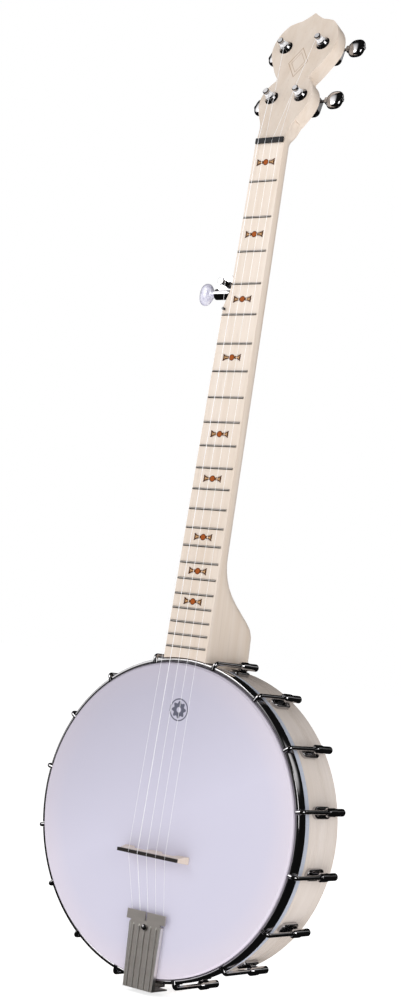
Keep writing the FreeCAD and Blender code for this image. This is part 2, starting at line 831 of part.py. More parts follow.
def hook_shape():
    """One round hook: a short arm in the hoop's notch, a bend and a long threaded shaft."""
    radius = size.hook_dia / 2
    arm = -size.notch_depth + radius + CLEAR
    bend = radius + 1.2
    turn = bend * (1 - math.sqrt(0.5))
    start = Vector(0, size.hoop_inner + 0.6, arm)
    corner_in = Vector(0, size.hook_radius - bend, arm)
    corner_mid = Vector(0, size.hook_radius - turn, arm - turn)
    corner_out = Vector(0, size.hook_radius, arm - bend)
    end = Vector(0, size.hook_radius, -size.hook_end)
    path = Part.Wire(
        [
            Part.makeLine(start, corner_in),
            Part.Arc(corner_in, corner_mid, corner_out).toShape(),
            Part.makeLine(corner_out, end),
        ]
    )
    section = Part.Wire([Part.makeCircle(radius, start, Vector(0, 1, 0))])
    return path.makePipeShell([section], True, False)


def shoe_shape():
    """One bracket shoe: an oval plate on the rim with a bored lug that stands off it."""
    base = size.rim_radius + CLEAR
    half = size.shoe_width / 2
    front = -size.shoe_front - half
    back = -size.shoe_front - size.shoe_length + half
    plate = Part.makeBox(size.shoe_width, size.shoe_thick, front - back, Vector(-half, base, back))
    for place in (front, back):
        plate = plate.fuse(rod(half, Vector(0, base, place), Vector(0, base + size.shoe_thick, place)))
    plate = plate.removeSplitter()
    rim_edges = [
        edge for edge in plate.Edges
        if min(vertex.Point.y for vertex in edge.Vertexes) > base + size.shoe_thick - 0.01
    ]
    plate = plate.makeFillet(1.0, rim_edges)
    low = base + DISH_FLOOR
    dish = Part.makeBox(
        2 * (half - size.shoe_rim), 2, front - back, Vector(size.shoe_rim - half, low, back)
    )
    for place in (front, back):
        dish = dish.fuse(
            rod(half - size.shoe_rim, Vector(0, low, place), Vector(0, low + 2, place))
        )
    plate = plate.cut(dish)
    lug_back = Vector(0, size.hook_radius, -size.lug_back)
    lug_front = lug_back + Vector(0, 0, size.lug_length)
    lug = rod(LUG_RADIUS, lug_back, lug_front)
    nose = Part.makeCone(LUG_RADIUS, size.hook_dia / 2 + 0.6, 2.6, lug_front, Vector(0, 0, 1))
    web = Part.makeBox(
        5, size.hook_radius - base - 1, size.lug_length, Vector(-2.5, base + 1, lug_back.z)
    )
    shoe = plate.fuse([lug, nose, web]).removeSplitter()
    bore = rod(size.hook_dia / 2 + 0.15, lug_back - Vector(0, 0, 5), lug_back + Vector(0, 0, 40))
    middle = -shoe_middle()
    tap = rod(
        size.screw_dia / 2 + CLEAR, Vector(0, base - 5, middle), Vector(0, base + SHANK_END, middle)
    )
    return shoe.cut([bore, tap])


def bracket_nut_shape():
    """One closed bracket nut: a flange, a long body and a domed end, bored for the hook."""
    top = -size.lug_back - CLEAR
    place = Vector(0, size.hook_radius, top)
    radius = size.nut_dia / 2
    end = top - size.bracket_nut_length
    body = rod(radius, place, Vector(0, size.hook_radius, end + 1.5))
    flange = rod(radius + 0.6, place, Vector(0, size.hook_radius, top - 2.2))
    cap = Part.makeCone(
        radius, radius - 1.5, 1.5, Vector(0, size.hook_radius, end + 1.5), Vector(0, 0, -1)
    )
    bore = rod(
        size.hook_dia / 2 + CLEAR,
        place + Vector(0, 0, 1), Vector(0, size.hook_radius, -size.hook_end - 0.5),
    )
    return body.fuse([flange, cap]).removeSplitter().cut(bore)


def shoe_screw_shape():
    """One shoe screw: a pan head and washer inside the rim and a shank into the shoe."""
    middle = -shoe_middle()
    wall = size.rim_radius - 3 * size.ply
    half = 4.6
    seat = math.sqrt(wall**2 - half**2) - CLEAR
    washer = rod(half, Vector(0, seat - 1, middle), Vector(0, seat, middle))
    head = rod(3.4, Vector(0, seat - 3.2, middle), Vector(0, seat - 1, middle))
    shank = rod(
        size.screw_dia / 2,
        Vector(0, seat - 1, middle), Vector(0, size.rim_radius + SHANK_END - 0.1, middle),
    )
    slot = Part.makeBox(1, 1.1, 8, Vector(-0.5, seat - 3.4, middle - 4))
    return washer.fuse([head, shank]).removeSplitter().cut(slot)


def build_fittings():
    """The sixteen sets of hook, shoe, screw and nut around the pot."""
    for label, shape in (
        ("bracket_hooks", hook_shape()),
        ("bracket_shoes", shoe_shape()),
        ("shoe_screws", shoe_screw_shape()),
        ("bracket_nuts", bracket_nut_shape()),
    ):
        group(label, pot_frame, [spun(shape, angle) for angle in hook_angles()])


def build_rods():
    """Heel bolt, coordinator rod and their nuts and washers."""
    wall = size.rim_radius - 3 * size.ply
    shoulder = wall - 9
    stud = size.rod_stud / 2
    back = -size.rod_back
    bar = rod(size.rod_dia / 2, Vector(0, -shoulder, back), Vector(0, shoulder, back))
    heel_end = size.rim_radius + size.heel_stud
    heel_stud = rod(stud, Vector(0, shoulder, back), Vector(0, heel_end, back))
    tail_end = -size.rim_radius - size.tail_stud
    tail_stud = rod(stud, Vector(0, -shoulder, back), Vector(0, tail_end, back))
    group("coordinator_rod", pot_frame, [bar.fuse([heel_stud, tail_stud]).removeSplitter()])
    lag_bolt = rod(stud, Vector(0, shoulder, -size.lag_back), Vector(0, heel_end, -size.lag_back))
    group("heel_bolt", pot_frame, [lag_bolt])
    flat = wall - 0.4
    hole = stud + CLEAR
    nuts = []
    washers = []
    for place, sign in ((back, 1), (-size.lag_back, 1), (back, -1)):
        nut = hexagon(11.1, 5.2, Vector(0, sign * (flat - 1.4), place), Vector(0, -sign, 0))
        washer = rod(7.2, Vector(0, sign * (flat - 1.3), place), Vector(0, sign * flat, place))
        bore = rod(hole, Vector(0, sign * (flat - 20), place), Vector(0, sign * (flat + 20), place))
        nuts.append(nut.cut(bore))
        washers.append(washer.cut(bore))
    outside = -(size.rim_radius + 1.0)
    strap = size.tail_sheet + 1.5
    tail_nut = hexagon(11.1, 6.4, Vector(0, outside - strap, back), Vector(0, -1, 0))
    nuts.append(tail_nut.cut(rod(hole, Vector(0, outside, back), Vector(0, outside - 30, back))))
    group("rod_nuts", pot_frame, nuts)
    group("rod_washers", pot_frame, washers)


# ---------------------------------------------------------------- bridge and tailpiece


def build_bridge():
    """Three-footed maple bridge with a dark cap that carries the strings."""
    place = bridge_place()
    front = size.head_rise + CLEAR
    cap = size.bridge_height - size.ebony_height
    half = size.bridge_length / 2
    thick = size.bridge_base / 2
    right = [
        (5, 0), (10.5, 6.6), (half - 12, 6.6), (half - 7.5, 0),
        (half + 2.2, 0), (half + 2.2, 1.6), (half - 1.2, cap),
    ]
    side = [Vector(across, place - thick, front + rise) for across, rise in right]
    other = [Vector(-point.x, point.y, point.z) for point in reversed(side)]
    blank = Part.Face(Part.makePolygon(side + other + side[:1])).extrude(Vector(0, size.bridge_base, 0))
    slope = thick - size.bridge_top / 2
    for sign in (1, -1):
        edge = [(thick, 2), (thick - slope, cap + 1), (thick + 5, cap + 1), (thick + 5, 2)]
        wedge = [Vector(-half - 5, place + sign * along, front + rise) for along, rise in edge]
        blade = Part.Face(Part.makePolygon(wedge + wedge[:1])).extrude(Vector(2 * half + 10, 0, 0))
        blank = blank.cut(blade)
    group("bridge_body", pot_frame, [blank])
    top = Part.makeBox(
        size.bridge_length, size.bridge_top, size.ebony_height - CLEAR,
        Vector(-half, place - size.bridge_top / 2, front + cap),
    )
    for number in range(1, 6):
        across = string_across_bridge(number)
        rest = front + size.bridge_height - 1.0
        slot = Part.makeBox(0.8, 10, 3, Vector(across - 0.4, place - 5, rest))
        top = top.cut(slot)
    group("bridge_cap", pot_frame, [top])


def build_tailpiece():
    """Folded sheet tailpiece: a wide front bar, a ribbed body and a bend down over the hoop."""
    body = new_body("tailpiece", pot_frame)
    face = new_sketch(body, "XY_Plane", "tail_rise - tail_sheet")
    outline(
        face,
        [
            ("-tail_foot / 2", "-tail_end"),
            ("tail_foot / 2", "-tail_end"),
            ("tail_body / 2", "-tail_top - tail_bar_height - 2.5"),
            ("tail_body / 2 - 2", "-tail_top - tail_bar_height"),
            ("tail_bar / 2", "-tail_top - tail_bar_height"),
            ("tail_bar / 2", "-tail_top"),
            ("1", "-tail_top"),
            ("1", "-tail_top - tail_bar_height + 1"),
            ("-1", "-tail_top - tail_bar_height + 1"),
            ("-1", "-tail_top"),
            ("-tail_bar / 2", "-tail_top"),
            ("-tail_bar / 2", "-tail_top - tail_bar_height"),
            ("2 - tail_body / 2", "-tail_top - tail_bar_height"),
            ("-tail_body / 2", "-tail_top - tail_bar_height - 2.5"),
        ],
    )
    pad(body, face, "tail_sheet")
    folds = new_sketch(body, "XY_Plane", "tail_rise - 0.5")
    for sign in ("", "-"):
        outline(
            folds,
            [
                (sign + "tail_foot / 2", "-tail_end"),
                (sign + "tail_body / 2", "-tail_top - tail_bar_height - 2.5"),
                (sign + "(tail_body / 2 - tail_sheet)", "-tail_top - tail_bar_height - 2.5"),
                (sign + "(tail_foot / 2 - tail_sheet)", "-tail_end"),
            ],
        )
    pad(body, folds, "tail_fold - 0.5", backwards=True)
    ribs = new_sketch(body, "XY_Plane", "tail_rise - 0.4")
    for number in (-2, -1, 0, 1, 2):
        middle = "%d * tail_body / 5.6" % number
        outline(
            ribs,
            [
                (middle + " - 0.7", "-tail_end + 1"),
                (middle + " + 0.7", "-tail_end + 1"),
                (middle + " + 0.7", "-tail_top - tail_bar_height - 4"),
                (middle + " - 0.7", "-tail_top - tail_bar_height - 4"),
            ],
        )
    pad(body, ribs, "1.1")
    tail = new_sketch(body, "XY_Plane", "tail_rise - 0.2")
    outline(
        tail,
        [
            ("-tail_foot / 2", "-tail_end"),
            ("tail_foot / 2", "-tail_end"),
            ("tail_foot / 2", "-tail_end + tail_sheet"),
            ("-tail_foot / 2", "-tail_end + tail_sheet"),
        ],
    )
    pad(body, tail, "tail_rise + 15", backwards=True)
    bore = new_sketch(body, "XY_Plane", "tail_rise + 1")
    circle(bore, "0", "-tail_top - tail_bar_height - 4.4", "1.7")
    pocket(body, bore, "6")
    keep(body)
    screw = turned(
        "tailpiece_screw",
        pot_frame.multiply(
            Placement(Vector(0, -size.tail_top - size.tail_bar_height - 4.4, 0), Rotation())
        ),
        [
            ("0", "head_rise + 0.3"), ("1.2", "head_rise + 0.3"), ("1.66", "head_rise + 0.9"),
            ("1.66", "tail_rise + 0.8"), ("2.7", "tail_rise + 0.8"), ("2.7", "tail_rise + 1.6"),
            ("1.8", "tail_rise + 2.5"), ("0", "tail_rise + 2.8"),
        ],
    )
    keep(screw)


def build_tail_strap():
    """Angle strap that ties the tailpiece to the rod's free end."""
    width = 16.0
    outside = -(size.rim_radius + 1.0)
    sheet_back = -(size.tail_end - size.tail_sheet)
    foot_front = -size.hoop_height - size.flesh_height - 2.6
    plate = Part.makeBox(
        width, 1.5, foot_front + size.rod_back + 8,
        Vector(-width / 2, outside - 1.5, -size.rod_back - 8),
    )
    foot = Part.makeBox(
        width, outside - sheet_back - 0.05, 1.5, Vector(-width / 2, sheet_back + 0.05, foot_front - 1.5)
    )
    lip = Part.makeBox(
        width, 1.5, 8, Vector(-width / 2, sheet_back + 0.05, foot_front - 1.5)
    )
    strap = plate.fuse([foot, lip]).removeSplitter()
    hole = rod(
        size.rod_stud / 2 + CLEAR,
        Vector(0, outside + 10, -size.rod_back), Vector(0, outside - 20, -size.rod_back),
    )
    group("tailpiece_strap", pot_frame, [strap.cut(hole)])


# ---------------------------------------------------------------- tuners


def gear_shape(module, bore, base, height):
    """Worm wheel standing on its own z axis: straight teeth, a gap facing up the neck."""
    teeth = int(size.gear_teeth)
    pitch_radius = module * teeth / 2
    root = pitch_radius - 1.15 * module
    tip = pitch_radius + module * 0.9
    disc = Part.makeCylinder(root, height, Vector(0, 0, base), Vector(0, 0, 1))
    pieces = []
    for index in range(teeth):
        angle = math.radians(90 + (index + 0.5) * TURN / teeth)
        out = Vector(math.cos(angle), math.sin(angle), 0)
        side = Vector(-out.y, out.x, 0)
        low = out * (root - 0.3) + side * module * 0.72
        high = out * tip + side * module * 0.3
        low_other = out * (root - 0.3) - side * module * 0.72
        high_other = out * tip - side * module * 0.3
        ring = [low, high, high_other, low_other, low]
        tooth = Part.Face(Part.makePolygon(ring)).extrude(Vector(0, 0, height))
        tooth.translate(Vector(0, 0, base))
        pieces.append(tooth)
    wheel = disc.fuse(pieces).removeSplitter()
    return wheel.cut(Part.makeCylinder(bore, height + 2, Vector(0, 0, base - 1), Vector(0, 0, 1)))


def worm_shape(module, pitch_dia, inner_end, outer_end, quarter):
    """Worm on its shaft along z: a right-handed thread that crests at z = 0, quarter turns from x."""
    pitch = math.pi * module
    turns = 4
    shaft = size.shaft_dia / 2
    root = pitch_dia / 2 - 1.15 * module
    tip = pitch_dia / 2 + module * 0.9
    start = (0.25 * (4 - quarter) - 2) * pitch
    foot = start - pitch / 2
    core = rod(root, Vector(0, 0, foot), Vector(0, 0, foot + (turns + 1) * pitch))
    inner = rod(shaft, Vector(0, 0, inner_end), Vector(0, 0, start - pitch / 2 + 0.2))
    outer = rod(shaft, Vector(0, 0, start + (turns + 0.5) * pitch - 0.2), Vector(0, 0, outer_end))
    helix = Part.makeHelix(pitch, turns * pitch, pitch_dia / 2)
    helix.translate(Vector(0, 0, start))
    sink = 0.25
    wide = module * 0.78
    thin = module * 0.2
    ring = [
        Vector(root - sink, 0, start - wide), Vector(tip, 0, start - thin),
        Vector(tip, 0, start + thin), Vector(root - sink, 0, start + wide),
    ]
    profile = Part.makePolygon(ring + ring[:1])
    thread = Part.Wire(helix.Edges).makePipeShell([profile], True, True)
    return core.fuse([thread, inner, outer])


def knob_shape(reach, length, tall, thick, collar_length):
    """Oval button along z: a flattened ellipse with rounded rims and a round collar."""
    wide = max(length, tall) / 2
    narrow = min(length, tall) / 2
    disc = Part.Face(Part.Wire([Part.Ellipse(Vector(), wide, narrow).toShape()]))
    oval = disc.extrude(Vector(0, 0, thick))
    oval.translate(Vector(0, 0, -thick / 2))
    oval = oval.makeFillet(thick * 0.32, [edge for edge in oval.Edges if edge.Length > wide * 3])
    turn = Rotation(Vector(0, 1, 0), 90)
    if tall > length:
        turn = Rotation(Vector(0, 1, 0), Vector(0, 0, 1), Vector(1, 0, 0), "ZXY")
    oval.Placement = Placement(Vector(0, 0, reach), turn)
    collar = rod(3.3, Vector(0, 0, reach - length / 2 - collar_length), Vector(0, 0, reach))
    knob = oval.fuse(collar).removeSplitter()
    return knob.cut(rod(size.shaft_dia / 2 + CLEAR, Vector(0, 0, 0), Vector(0, 0, reach + 1)))


def gear_distance():
    """Worm axis to post axis in the four peghead tuners."""
    return (size.gear_module * size.gear_teeth + size.worm_pitch_dia) / 2


def casing_outline(shrink, ear):
    """Face of the tuner casing's footprint, with or without the screw ear."""
    left = -8.6 + shrink
    right = 9.4 - shrink
    low = -8.4 + shrink
    high = gear_distance() + 5.1 - shrink
    corner = 5.0 - shrink
    box = Part.makeBox(right - left, high - low, 1, Vector(left, low, 0))
    upright = [
        edge for edge in box.Edges
        if abs(edge.Vertexes[0].Point.z - edge.Vertexes[1].Point.z) > 0.5
    ]
    box = box.makeFillet(corner, upright)
    if ear:
        box = box.fuse(Part.makeCylinder(3.0, 1, Vector(0, -EAR_BELOW, 0), Vector(0, 0, 1)))
        box = box.fuse(Part.makeBox(6, 5, 1, Vector(-3, -EAR_BELOW, 0))).removeSplitter()
    return box


def casing_shape(hand):
    """Die-cast casing behind the peghead, hollow for the wheel and the worm."""
    back = size.peghead_depth
    axis = back + size.gear_axis_depth
    plate = 1.0
    depth = size.gear_axis_depth + 2.6 + 0.5 + size.housing_wall - plate
    footprint = casing_outline(0, False)
    face = [item for item in footprint.Faces if abs(item.CenterOfMass.z - 1) < 1e-6][0]
    block = face.extrude(Vector(0, 0, -depth))
    block.translate(Vector(0, 0, -back - plate - CLEAR - 1))
    bottom = min(vertex.Point.z for vertex in block.Vertexes)
    rim_edges = [
        edge for edge in block.Edges
        if max(vertex.Point.z for vertex in edge.Vertexes) < bottom + 0.01
    ]
    block = block.makeFillet(1.5, rim_edges)
    top = -back - plate
    chamber = Part.makeCylinder(
        size.gear_module * size.gear_teeth / 2 + size.gear_module + 0.45,
        axis - back - plate + size.gear_width / 2 + 0.5,
        Vector(0, 0, top), Vector(0, 0, -1),
    )
    worm_room = Part.makeBox(
        13.4, 6.2, axis - back - plate + 3.1, Vector(-6.2, gear_distance() - 3.1, -axis - 3.1)
    )
    shaft = rod(
        size.shaft_dia / 2 + size.running_fit,
        Vector(-7.6, gear_distance(), -axis),
        Vector(20, gear_distance(), -axis),
    )
    seat = Part.makeCylinder(2.2 + size.running_fit, 1.9, Vector(0, 0, -axis - 1), Vector(0, 0, -1))
    casing = block.cut([chamber, worm_room, shaft, seat])
    return casing if hand > 0 else casing.mirror(Vector(), Vector(1, 0, 0))


def plate_shape(hand):
    """Thin plate between the casing and the peghead, with the screw ear."""
    footprint = casing_outline(0, True)
    footprint.translate(Vector(0, 0, -size.peghead_depth - 1 - CLEAR))
    post = rod(size.post_dia / 2 + 0.3, Vector(0, 0, -30), Vector(0, 0, 10))
    screw = rod(EAR_SCREW + CLEAR, Vector(0, -EAR_BELOW, -30), Vector(0, -EAR_BELOW, 10))
    plate = footprint.cut([post, screw])
    return plate if hand > 0 else plate.mirror(Vector(), Vector(1, 0, 0))


def tuner_screw_shape():
    """Small pan-head wood screw through the plate's ear."""
    seat = -size.peghead_depth - 1 - 2 * CLEAR
    shank = rod(EAR_SCREW, Vector(0, -EAR_BELOW, seat), Vector(0, -EAR_BELOW, -7.5))
    head = Part.makeCone(2.3, 1.4, 1.5, Vector(0, -EAR_BELOW, seat), Vector(0, 0, -1))
    slot = Part.makeBox(6, 0.7, 1.5, Vector(-3, -EAR_BELOW - 0.35, seat - 2.2))
    return shank.fuse(head).removeSplitter().cut(slot)


def build_tuner_mounts():
    """The parts of the four tuners that don't turn."""
    casings = []
    plates = []
    screws = []
    bushes = []
    collars = []
    bore = size.post_dia / 2 + size.running_fit
    for _, hand, (across, up) in tuner_places():
        place = Placement(Vector(hand * across, up, 0), Rotation())
        casings.append(moved(casing_shape(hand), place))
        plates.append(moved(plate_shape(hand), place))
        screws.append(moved(tuner_screw_shape(), place))
        sleeve = rod(size.bush_dia / 2, Vector(0, 0, -size.peghead_depth + 0.1), Vector(0, 0, 1.7))
        flange = Part.makeCone(5.7, 4.6, 2.0, Vector(0, 0, 1.62), Vector(0, 0, 1))
        hole = rod(bore, Vector(0, 0, -30), Vector(0, 0, 10))
        bushes.append(moved(sleeve.fuse(flange).removeSplitter().cut(hole), place))
        collar = Part.makeCone(
            size.collar_dia / 2, size.collar_dia / 2 - 1.6, 1.58, Vector(0, 0, CLEAR), Vector(0, 0, 1)
        )
        collar = collar.cut(rod(size.bush_dia / 2 + CLEAR, Vector(0, 0, -3), Vector(0, 0, 5)))
        collars.append(moved(collar, place))
    group("tuner_casings", peghead_frame, casings)
    group("tuner_plates", peghead_frame, plates)
    group("tuner_screws", peghead_frame, screws)
    group("tuner_bushings", peghead_frame, bushes)
    group("tuner_washers", peghead_frame, collars)


def post_corners():
    """Half-section of a peghead string post: gear seat, shank, string waist and cap."""
    axis = "-peghead_depth - gear_axis_depth"
    return [
        ("0", axis + " - 2.7"), ("2.2", axis + " - 2.7"), ("2.2", axis + " + 1.3"),
        ("post_dia / 2", axis + " + 1.3"), ("post_dia / 2", "post_height - 6.4"),
        ("post_dia / 2 - 0.6", "post_height - 5.2"), ("post_dia / 2 - 0.6", "post_height - 2.8"),
        ("post_dia / 2 + 0.2", "post_height - 1.9"), ("post_dia / 2 + 0.2", "post_height - 0.6"),
        ("post_dia / 2 - 0.5", "post_height"), ("0", "post_height"),
    ]


def build_tuner(number, hand, across, up):
    """Turning parts of one tuner: string post, worm wheel, worm shaft, button and its screw."""
    name = "tuner%d_" % number
    axis = size.peghead_depth + size.gear_axis_depth
    post_frame = peghead_frame.multiply(Placement(Vector(hand * across, up, 0), Rotation()))
    shaft_frame = peghead_frame.multiply(
        Placement(
            Vector(hand * across, up + gear_distance(), -axis), Rotation(Vector(0, 1, 0), hand * 90)
        )
    )
    keep(turned(name + "post", post_frame, post_corners()))
    wheel = gear_shape(size.gear_module, 2.2 + CLEAR, -axis - size.gear_width / 2, size.gear_width)
    group(name + "gear", post_frame, [wheel])
    outer = size.button_reach + 0.5
    worm = worm_shape(size.gear_module, size.worm_pitch_dia, -7.4, outer, 3)
    group(name + "worm", shaft_frame, [worm])
    knob = knob_shape(size.button_reach, size.button_long, size.button_tall, size.button_thick, 2.2)
    end = size.button_reach + size.button_long / 2
    knob = knob.cut(rod(1.6 + CLEAR, Vector(0, 0, size.button_reach), Vector(0, 0, end + 3)))
    group(name + "button", shaft_frame, [knob])
    group(name + "button_screw", shaft_frame, [button_screw_shape(outer, end)])


def button_screw_shape(inner, end):
    """Screw in the button's outer end: a thin shank and a slotted head."""
    shank = rod(1.6, Vector(0, 0, inner + 1), Vector(0, 0, end + 0.1))
    head = Part.makeCone(2.6, 1.7, 1.0, Vector(0, 0, end + CLEAR), Vector(0, 0, 1))
    slot = Part.makeBox(6, 0.7, 2, Vector(-3, -0.35, end + 0.5))
    return shank.fuse(head).removeSplitter().cut(slot)


def build_fifth_peg():
    """The geared peg on the neck's bass side, with its barrel across the neck."""
    along = size.peg_post_along
    across = -size.peg_post_across
    depth = size.peg_axis_depth
    reach = peg_worm_distance()
    post_frame = neck_frame.multiply(Placement(Vector(across, -along, 0), Rotation()))
    shaft_frame = neck_frame.multiply(
        Placement(Vector(across, -along - reach, -depth), Rotation(Vector(0, 1, 0), -90))
    )
    tip_radius = peg_tip_radius()
    case_radius = peg_case_radius()
    half = 3.2

    def line(radius, start, end):
        """A cylinder on the worm's axis, between two distances from the post."""
        down = -along - reach
        return rod(radius, Vector(across + start, down, -depth), Vector(across + end, down, -depth))

    barrel = line(size.peg_barrel_dia / 2, 5.9, -11.4)
    case = rod(
        case_radius, Vector(across, -along, -depth - half), Vector(across, -along, -depth + half)
    )
    housing = case.fuse([barrel, line(SPIGOT, 5, size.peg_post_across - SPIGOT_END)]).removeSplitter()
    chamber = Part.makeCylinder(
        tip_radius + 0.45, half + 1.9, Vector(across, -along, -depth - 1.8), Vector(0, 0, 1)
    )
    worm_room = line(4.1, 6.9, -7.6)
    shaft_bore = line(size.shaft_dia / 2 + size.running_fit, 9, -12)
    seat = Part.makeCylinder(
        2.2 + size.running_fit, 10, Vector(across, -along, -depth - 2.8), Vector(0, 0, 1)
    )
    group("peg5_housing", neck_frame, [housing.cut([chamber, worm_room, shaft_bore, seat])])
    cover = Part.makeCylinder(
        case_radius, 1.2, Vector(across, -along, -depth + half + CLEAR), Vector(0, 0, 1)
    )
    post_hole = rod(
        size.post_dia / 2 - 0.4 + size.running_fit,
        Vector(across, -along, -20), Vector(across, -along, 5),
    )
    cover = cover.cut([post_hole, line(size.peg_barrel_dia / 2 + CLEAR, 9, -14)])
    group("peg5_cover", neck_frame, [cover])
    axis = "-peg_axis_depth"
    keep(
        turned(
            "peg5_post",
            post_frame,
            [
                ("0", axis + " - 2.7"), ("2.2", axis + " - 2.7"), ("2.2", axis + " + 1.5"),
                ("post_dia / 2 - 0.4", axis + " + 1.5"), ("post_dia / 2 - 0.4", "peg_post_rise - 4.6"),
                ("post_dia / 2 - 0.9", "peg_post_rise - 3.8"),
                ("post_dia / 2 - 0.9", "peg_post_rise - 2.2"),
                ("post_dia / 2 + 0.6", "peg_post_rise - 1.5"),
                ("post_dia / 2 + 0.6", "peg_post_rise - 0.5"),
                ("post_dia / 2 - 0.2", "peg_post_rise"), ("0", "peg_post_rise"),
            ],
        )
    )
    wheel = gear_shape(size.peg_module, 2.2 + CLEAR, -depth - 1.3, 2.6)
    group("peg5_gear", post_frame, [wheel])
    button = size.peg_button_across - size.peg_post_across
    worm = worm_shape(size.peg_module, size.peg_worm_dia, -8.6, button + 0.5, 1)
    group("peg5_worm", shaft_frame, [worm])
    group("peg5_button", shaft_frame, [knob_shape(button, 18.4, 21.4, 9.4, 0.5)])


# ---------------------------------------------------------------- strings


def run_of(points, radius):
    """One string: straight runs between points, rounded where it bends."""
    parts = [rod(radius, start, end) for start, end in zip(points, points[1:])]
    parts += [Part.makeSphere(radius, point) for point in points[1:-1]]
    return parts[0].fuse(parts[1:]) if len(parts) > 1 else parts[0]


def build_strings():
    """Five steel strings from the tailpiece over the bridge and nut to the posts."""
    place = bridge_place()
    height = size.head_rise + size.bridge_height - 0.5
    bar = -size.tail_top - 3
    under = size.tail_rise - size.tail_sheet - 1.3
    places = {number: (hand, across, up) for number, hand, (across, up) in tuner_places()}
    for number in range(1, 6):
        radius = STRING_RADII[number - 1]
        across = string_across_bridge(number)
        anchor = pot_frame.multVec(Vector(across * 0.86, bar, under - radius))
        saddle = pot_frame.multVec(Vector(across, place, height + radius + 0.04))
        points = [anchor, saddle]
        if number < 5:
            hand, post, up = places[number]
            rest = size.nut_height - 0.5 + CLEAR + radius + 0.03
            over_nut = Vector(string_across_nut(number), size.nut_length / 2, rest)
            points.append(neck_frame.multVec(over_nut))
            inner = hand * (post - size.post_dia / 2 - radius - 0.1)
            points.append(peghead_frame.multVec(Vector(inner, up, size.post_height - 4)))
        else:
            rest = size.fret_height + 1.6 + radius + 0.04
            points.append(neck_frame.multVec(Vector(-size.pip_across, -size.pip_along, rest)))
            inner = -(size.peg_post_across - size.post_dia / 2 - radius + 0.1)
            at_peg = Vector(inner, -size.peg_post_along, size.peg_post_rise - 3)
            points.append(neck_frame.multVec(at_peg))
        group("string_%d" % number, Placement(), [run_of(points, radius)])


# ---------------------------------------------------------------- whole instrument


def build_all():
    """Every piece of the instrument, from the neck to the strings."""
    build_neck()
    build_frets()
    build_nut()
    build_markers()
    build_pip()
    build_rim()
    build_head()
    build_tension_hoop()
    build_fittings()
    build_rods()
    build_bridge()
    build_tailpiece()
    build_tail_strap()
    build_tuner_mounts()
    for number, hand, (across, up) in tuner_places():
        build_tuner(number, hand, across, up)
    build_fifth_peg()
    build_strings()


def check_all():
    """Stop if any object failed or any piece isn't sound."""
    for item in doc.Objects:
        if "Invalid" in item.State or "Error" in item.State:
            raise RuntimeError("%s failed: %s" % (item.Label, item.State))
    for piece in finished:
        if piece.Shape.isNull() or not piece.Shape.isValid():
            raise RuntimeError("%s has no sound shape" % piece.Label)


build_all()
doc.recompute()
check_all()
os.makedirs("parts", exist_ok=True)
for piece in finished:
    piece.Shape.exportStep("parts/%s.step" % piece.Label)
print("wrote %d nodes" % len(finished))
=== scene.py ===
"""Looks of an open-back five-string banjo: maple, nickel, film head and steel strings.

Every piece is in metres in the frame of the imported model: the origin is on the fingerboard
face at the nut, +Z runs up to the peghead, the head faces -Y and +X is the treble side.
"""
import json
import math

import bpy
import numpy as np
from mathutils import Matrix, Vector


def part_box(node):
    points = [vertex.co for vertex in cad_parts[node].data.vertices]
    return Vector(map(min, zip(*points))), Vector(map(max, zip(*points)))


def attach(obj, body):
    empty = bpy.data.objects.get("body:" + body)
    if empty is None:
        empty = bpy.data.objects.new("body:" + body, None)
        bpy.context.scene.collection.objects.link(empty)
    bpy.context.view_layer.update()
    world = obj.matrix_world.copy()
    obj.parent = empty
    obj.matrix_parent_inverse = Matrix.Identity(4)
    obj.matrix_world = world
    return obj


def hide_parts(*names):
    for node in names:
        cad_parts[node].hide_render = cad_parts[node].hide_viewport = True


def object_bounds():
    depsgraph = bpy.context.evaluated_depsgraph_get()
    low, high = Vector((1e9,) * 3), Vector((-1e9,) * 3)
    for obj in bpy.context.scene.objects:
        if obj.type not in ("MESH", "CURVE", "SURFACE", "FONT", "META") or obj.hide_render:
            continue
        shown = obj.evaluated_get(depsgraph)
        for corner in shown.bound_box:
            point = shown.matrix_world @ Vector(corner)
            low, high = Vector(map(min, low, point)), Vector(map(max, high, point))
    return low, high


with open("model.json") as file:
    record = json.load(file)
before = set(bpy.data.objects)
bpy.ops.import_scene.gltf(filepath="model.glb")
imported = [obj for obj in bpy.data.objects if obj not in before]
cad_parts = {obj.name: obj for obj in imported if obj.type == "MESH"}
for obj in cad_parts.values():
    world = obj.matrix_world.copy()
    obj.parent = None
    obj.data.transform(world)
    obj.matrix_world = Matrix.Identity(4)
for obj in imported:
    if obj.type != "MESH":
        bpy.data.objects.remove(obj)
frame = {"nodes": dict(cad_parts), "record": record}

cad_low, cad_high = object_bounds()
scene = bpy.context.scene
MM = 0.001

# ---------------------------------------------------------------- sizes

SCALE = 666.75 * MM
MARKED_FRETS = (1, 3, 5, 7, 10, 12, 15, 17, 19)
STEP_START = SCALE * (1 - 2 ** (-5 / 12)) - 29.3 * MM
STEP_LONG = 26.0 * MM
TREBLE_HALF = 14.8 * MM
TREBLE_FLARE = 0.0163
BASS_HALF = 16.0 * MM
BASS_STEP = 6.3 * MM
FIRST_HOOK = 13.4
HOOKS_A_SIDE = 8
HOOP_THICK = 3.5 * MM
HOOP_CORNER = 1.0 * MM
NOTCH_HALF = 2.3 * MM
NOTCH_DEEP = 3.2 * MM
BUTTON = (16.5 * MM, 19.0 * MM, 9.0 * MM)
BUTTON_FIFTH = (14.5 * MM, 21.5 * MM, 9.0 * MM)
COLLAR_RADIUS = 3.3 * MM
WINDING_TURNS = 5.0
WINDING_RADIUS = 3.05 * MM
WINDING_WIRE = 0.3 * MM
WINDING_ENDS = (4.2 * MM, 8.6 * MM)
LOZENGE_UP = 94.0 * MM
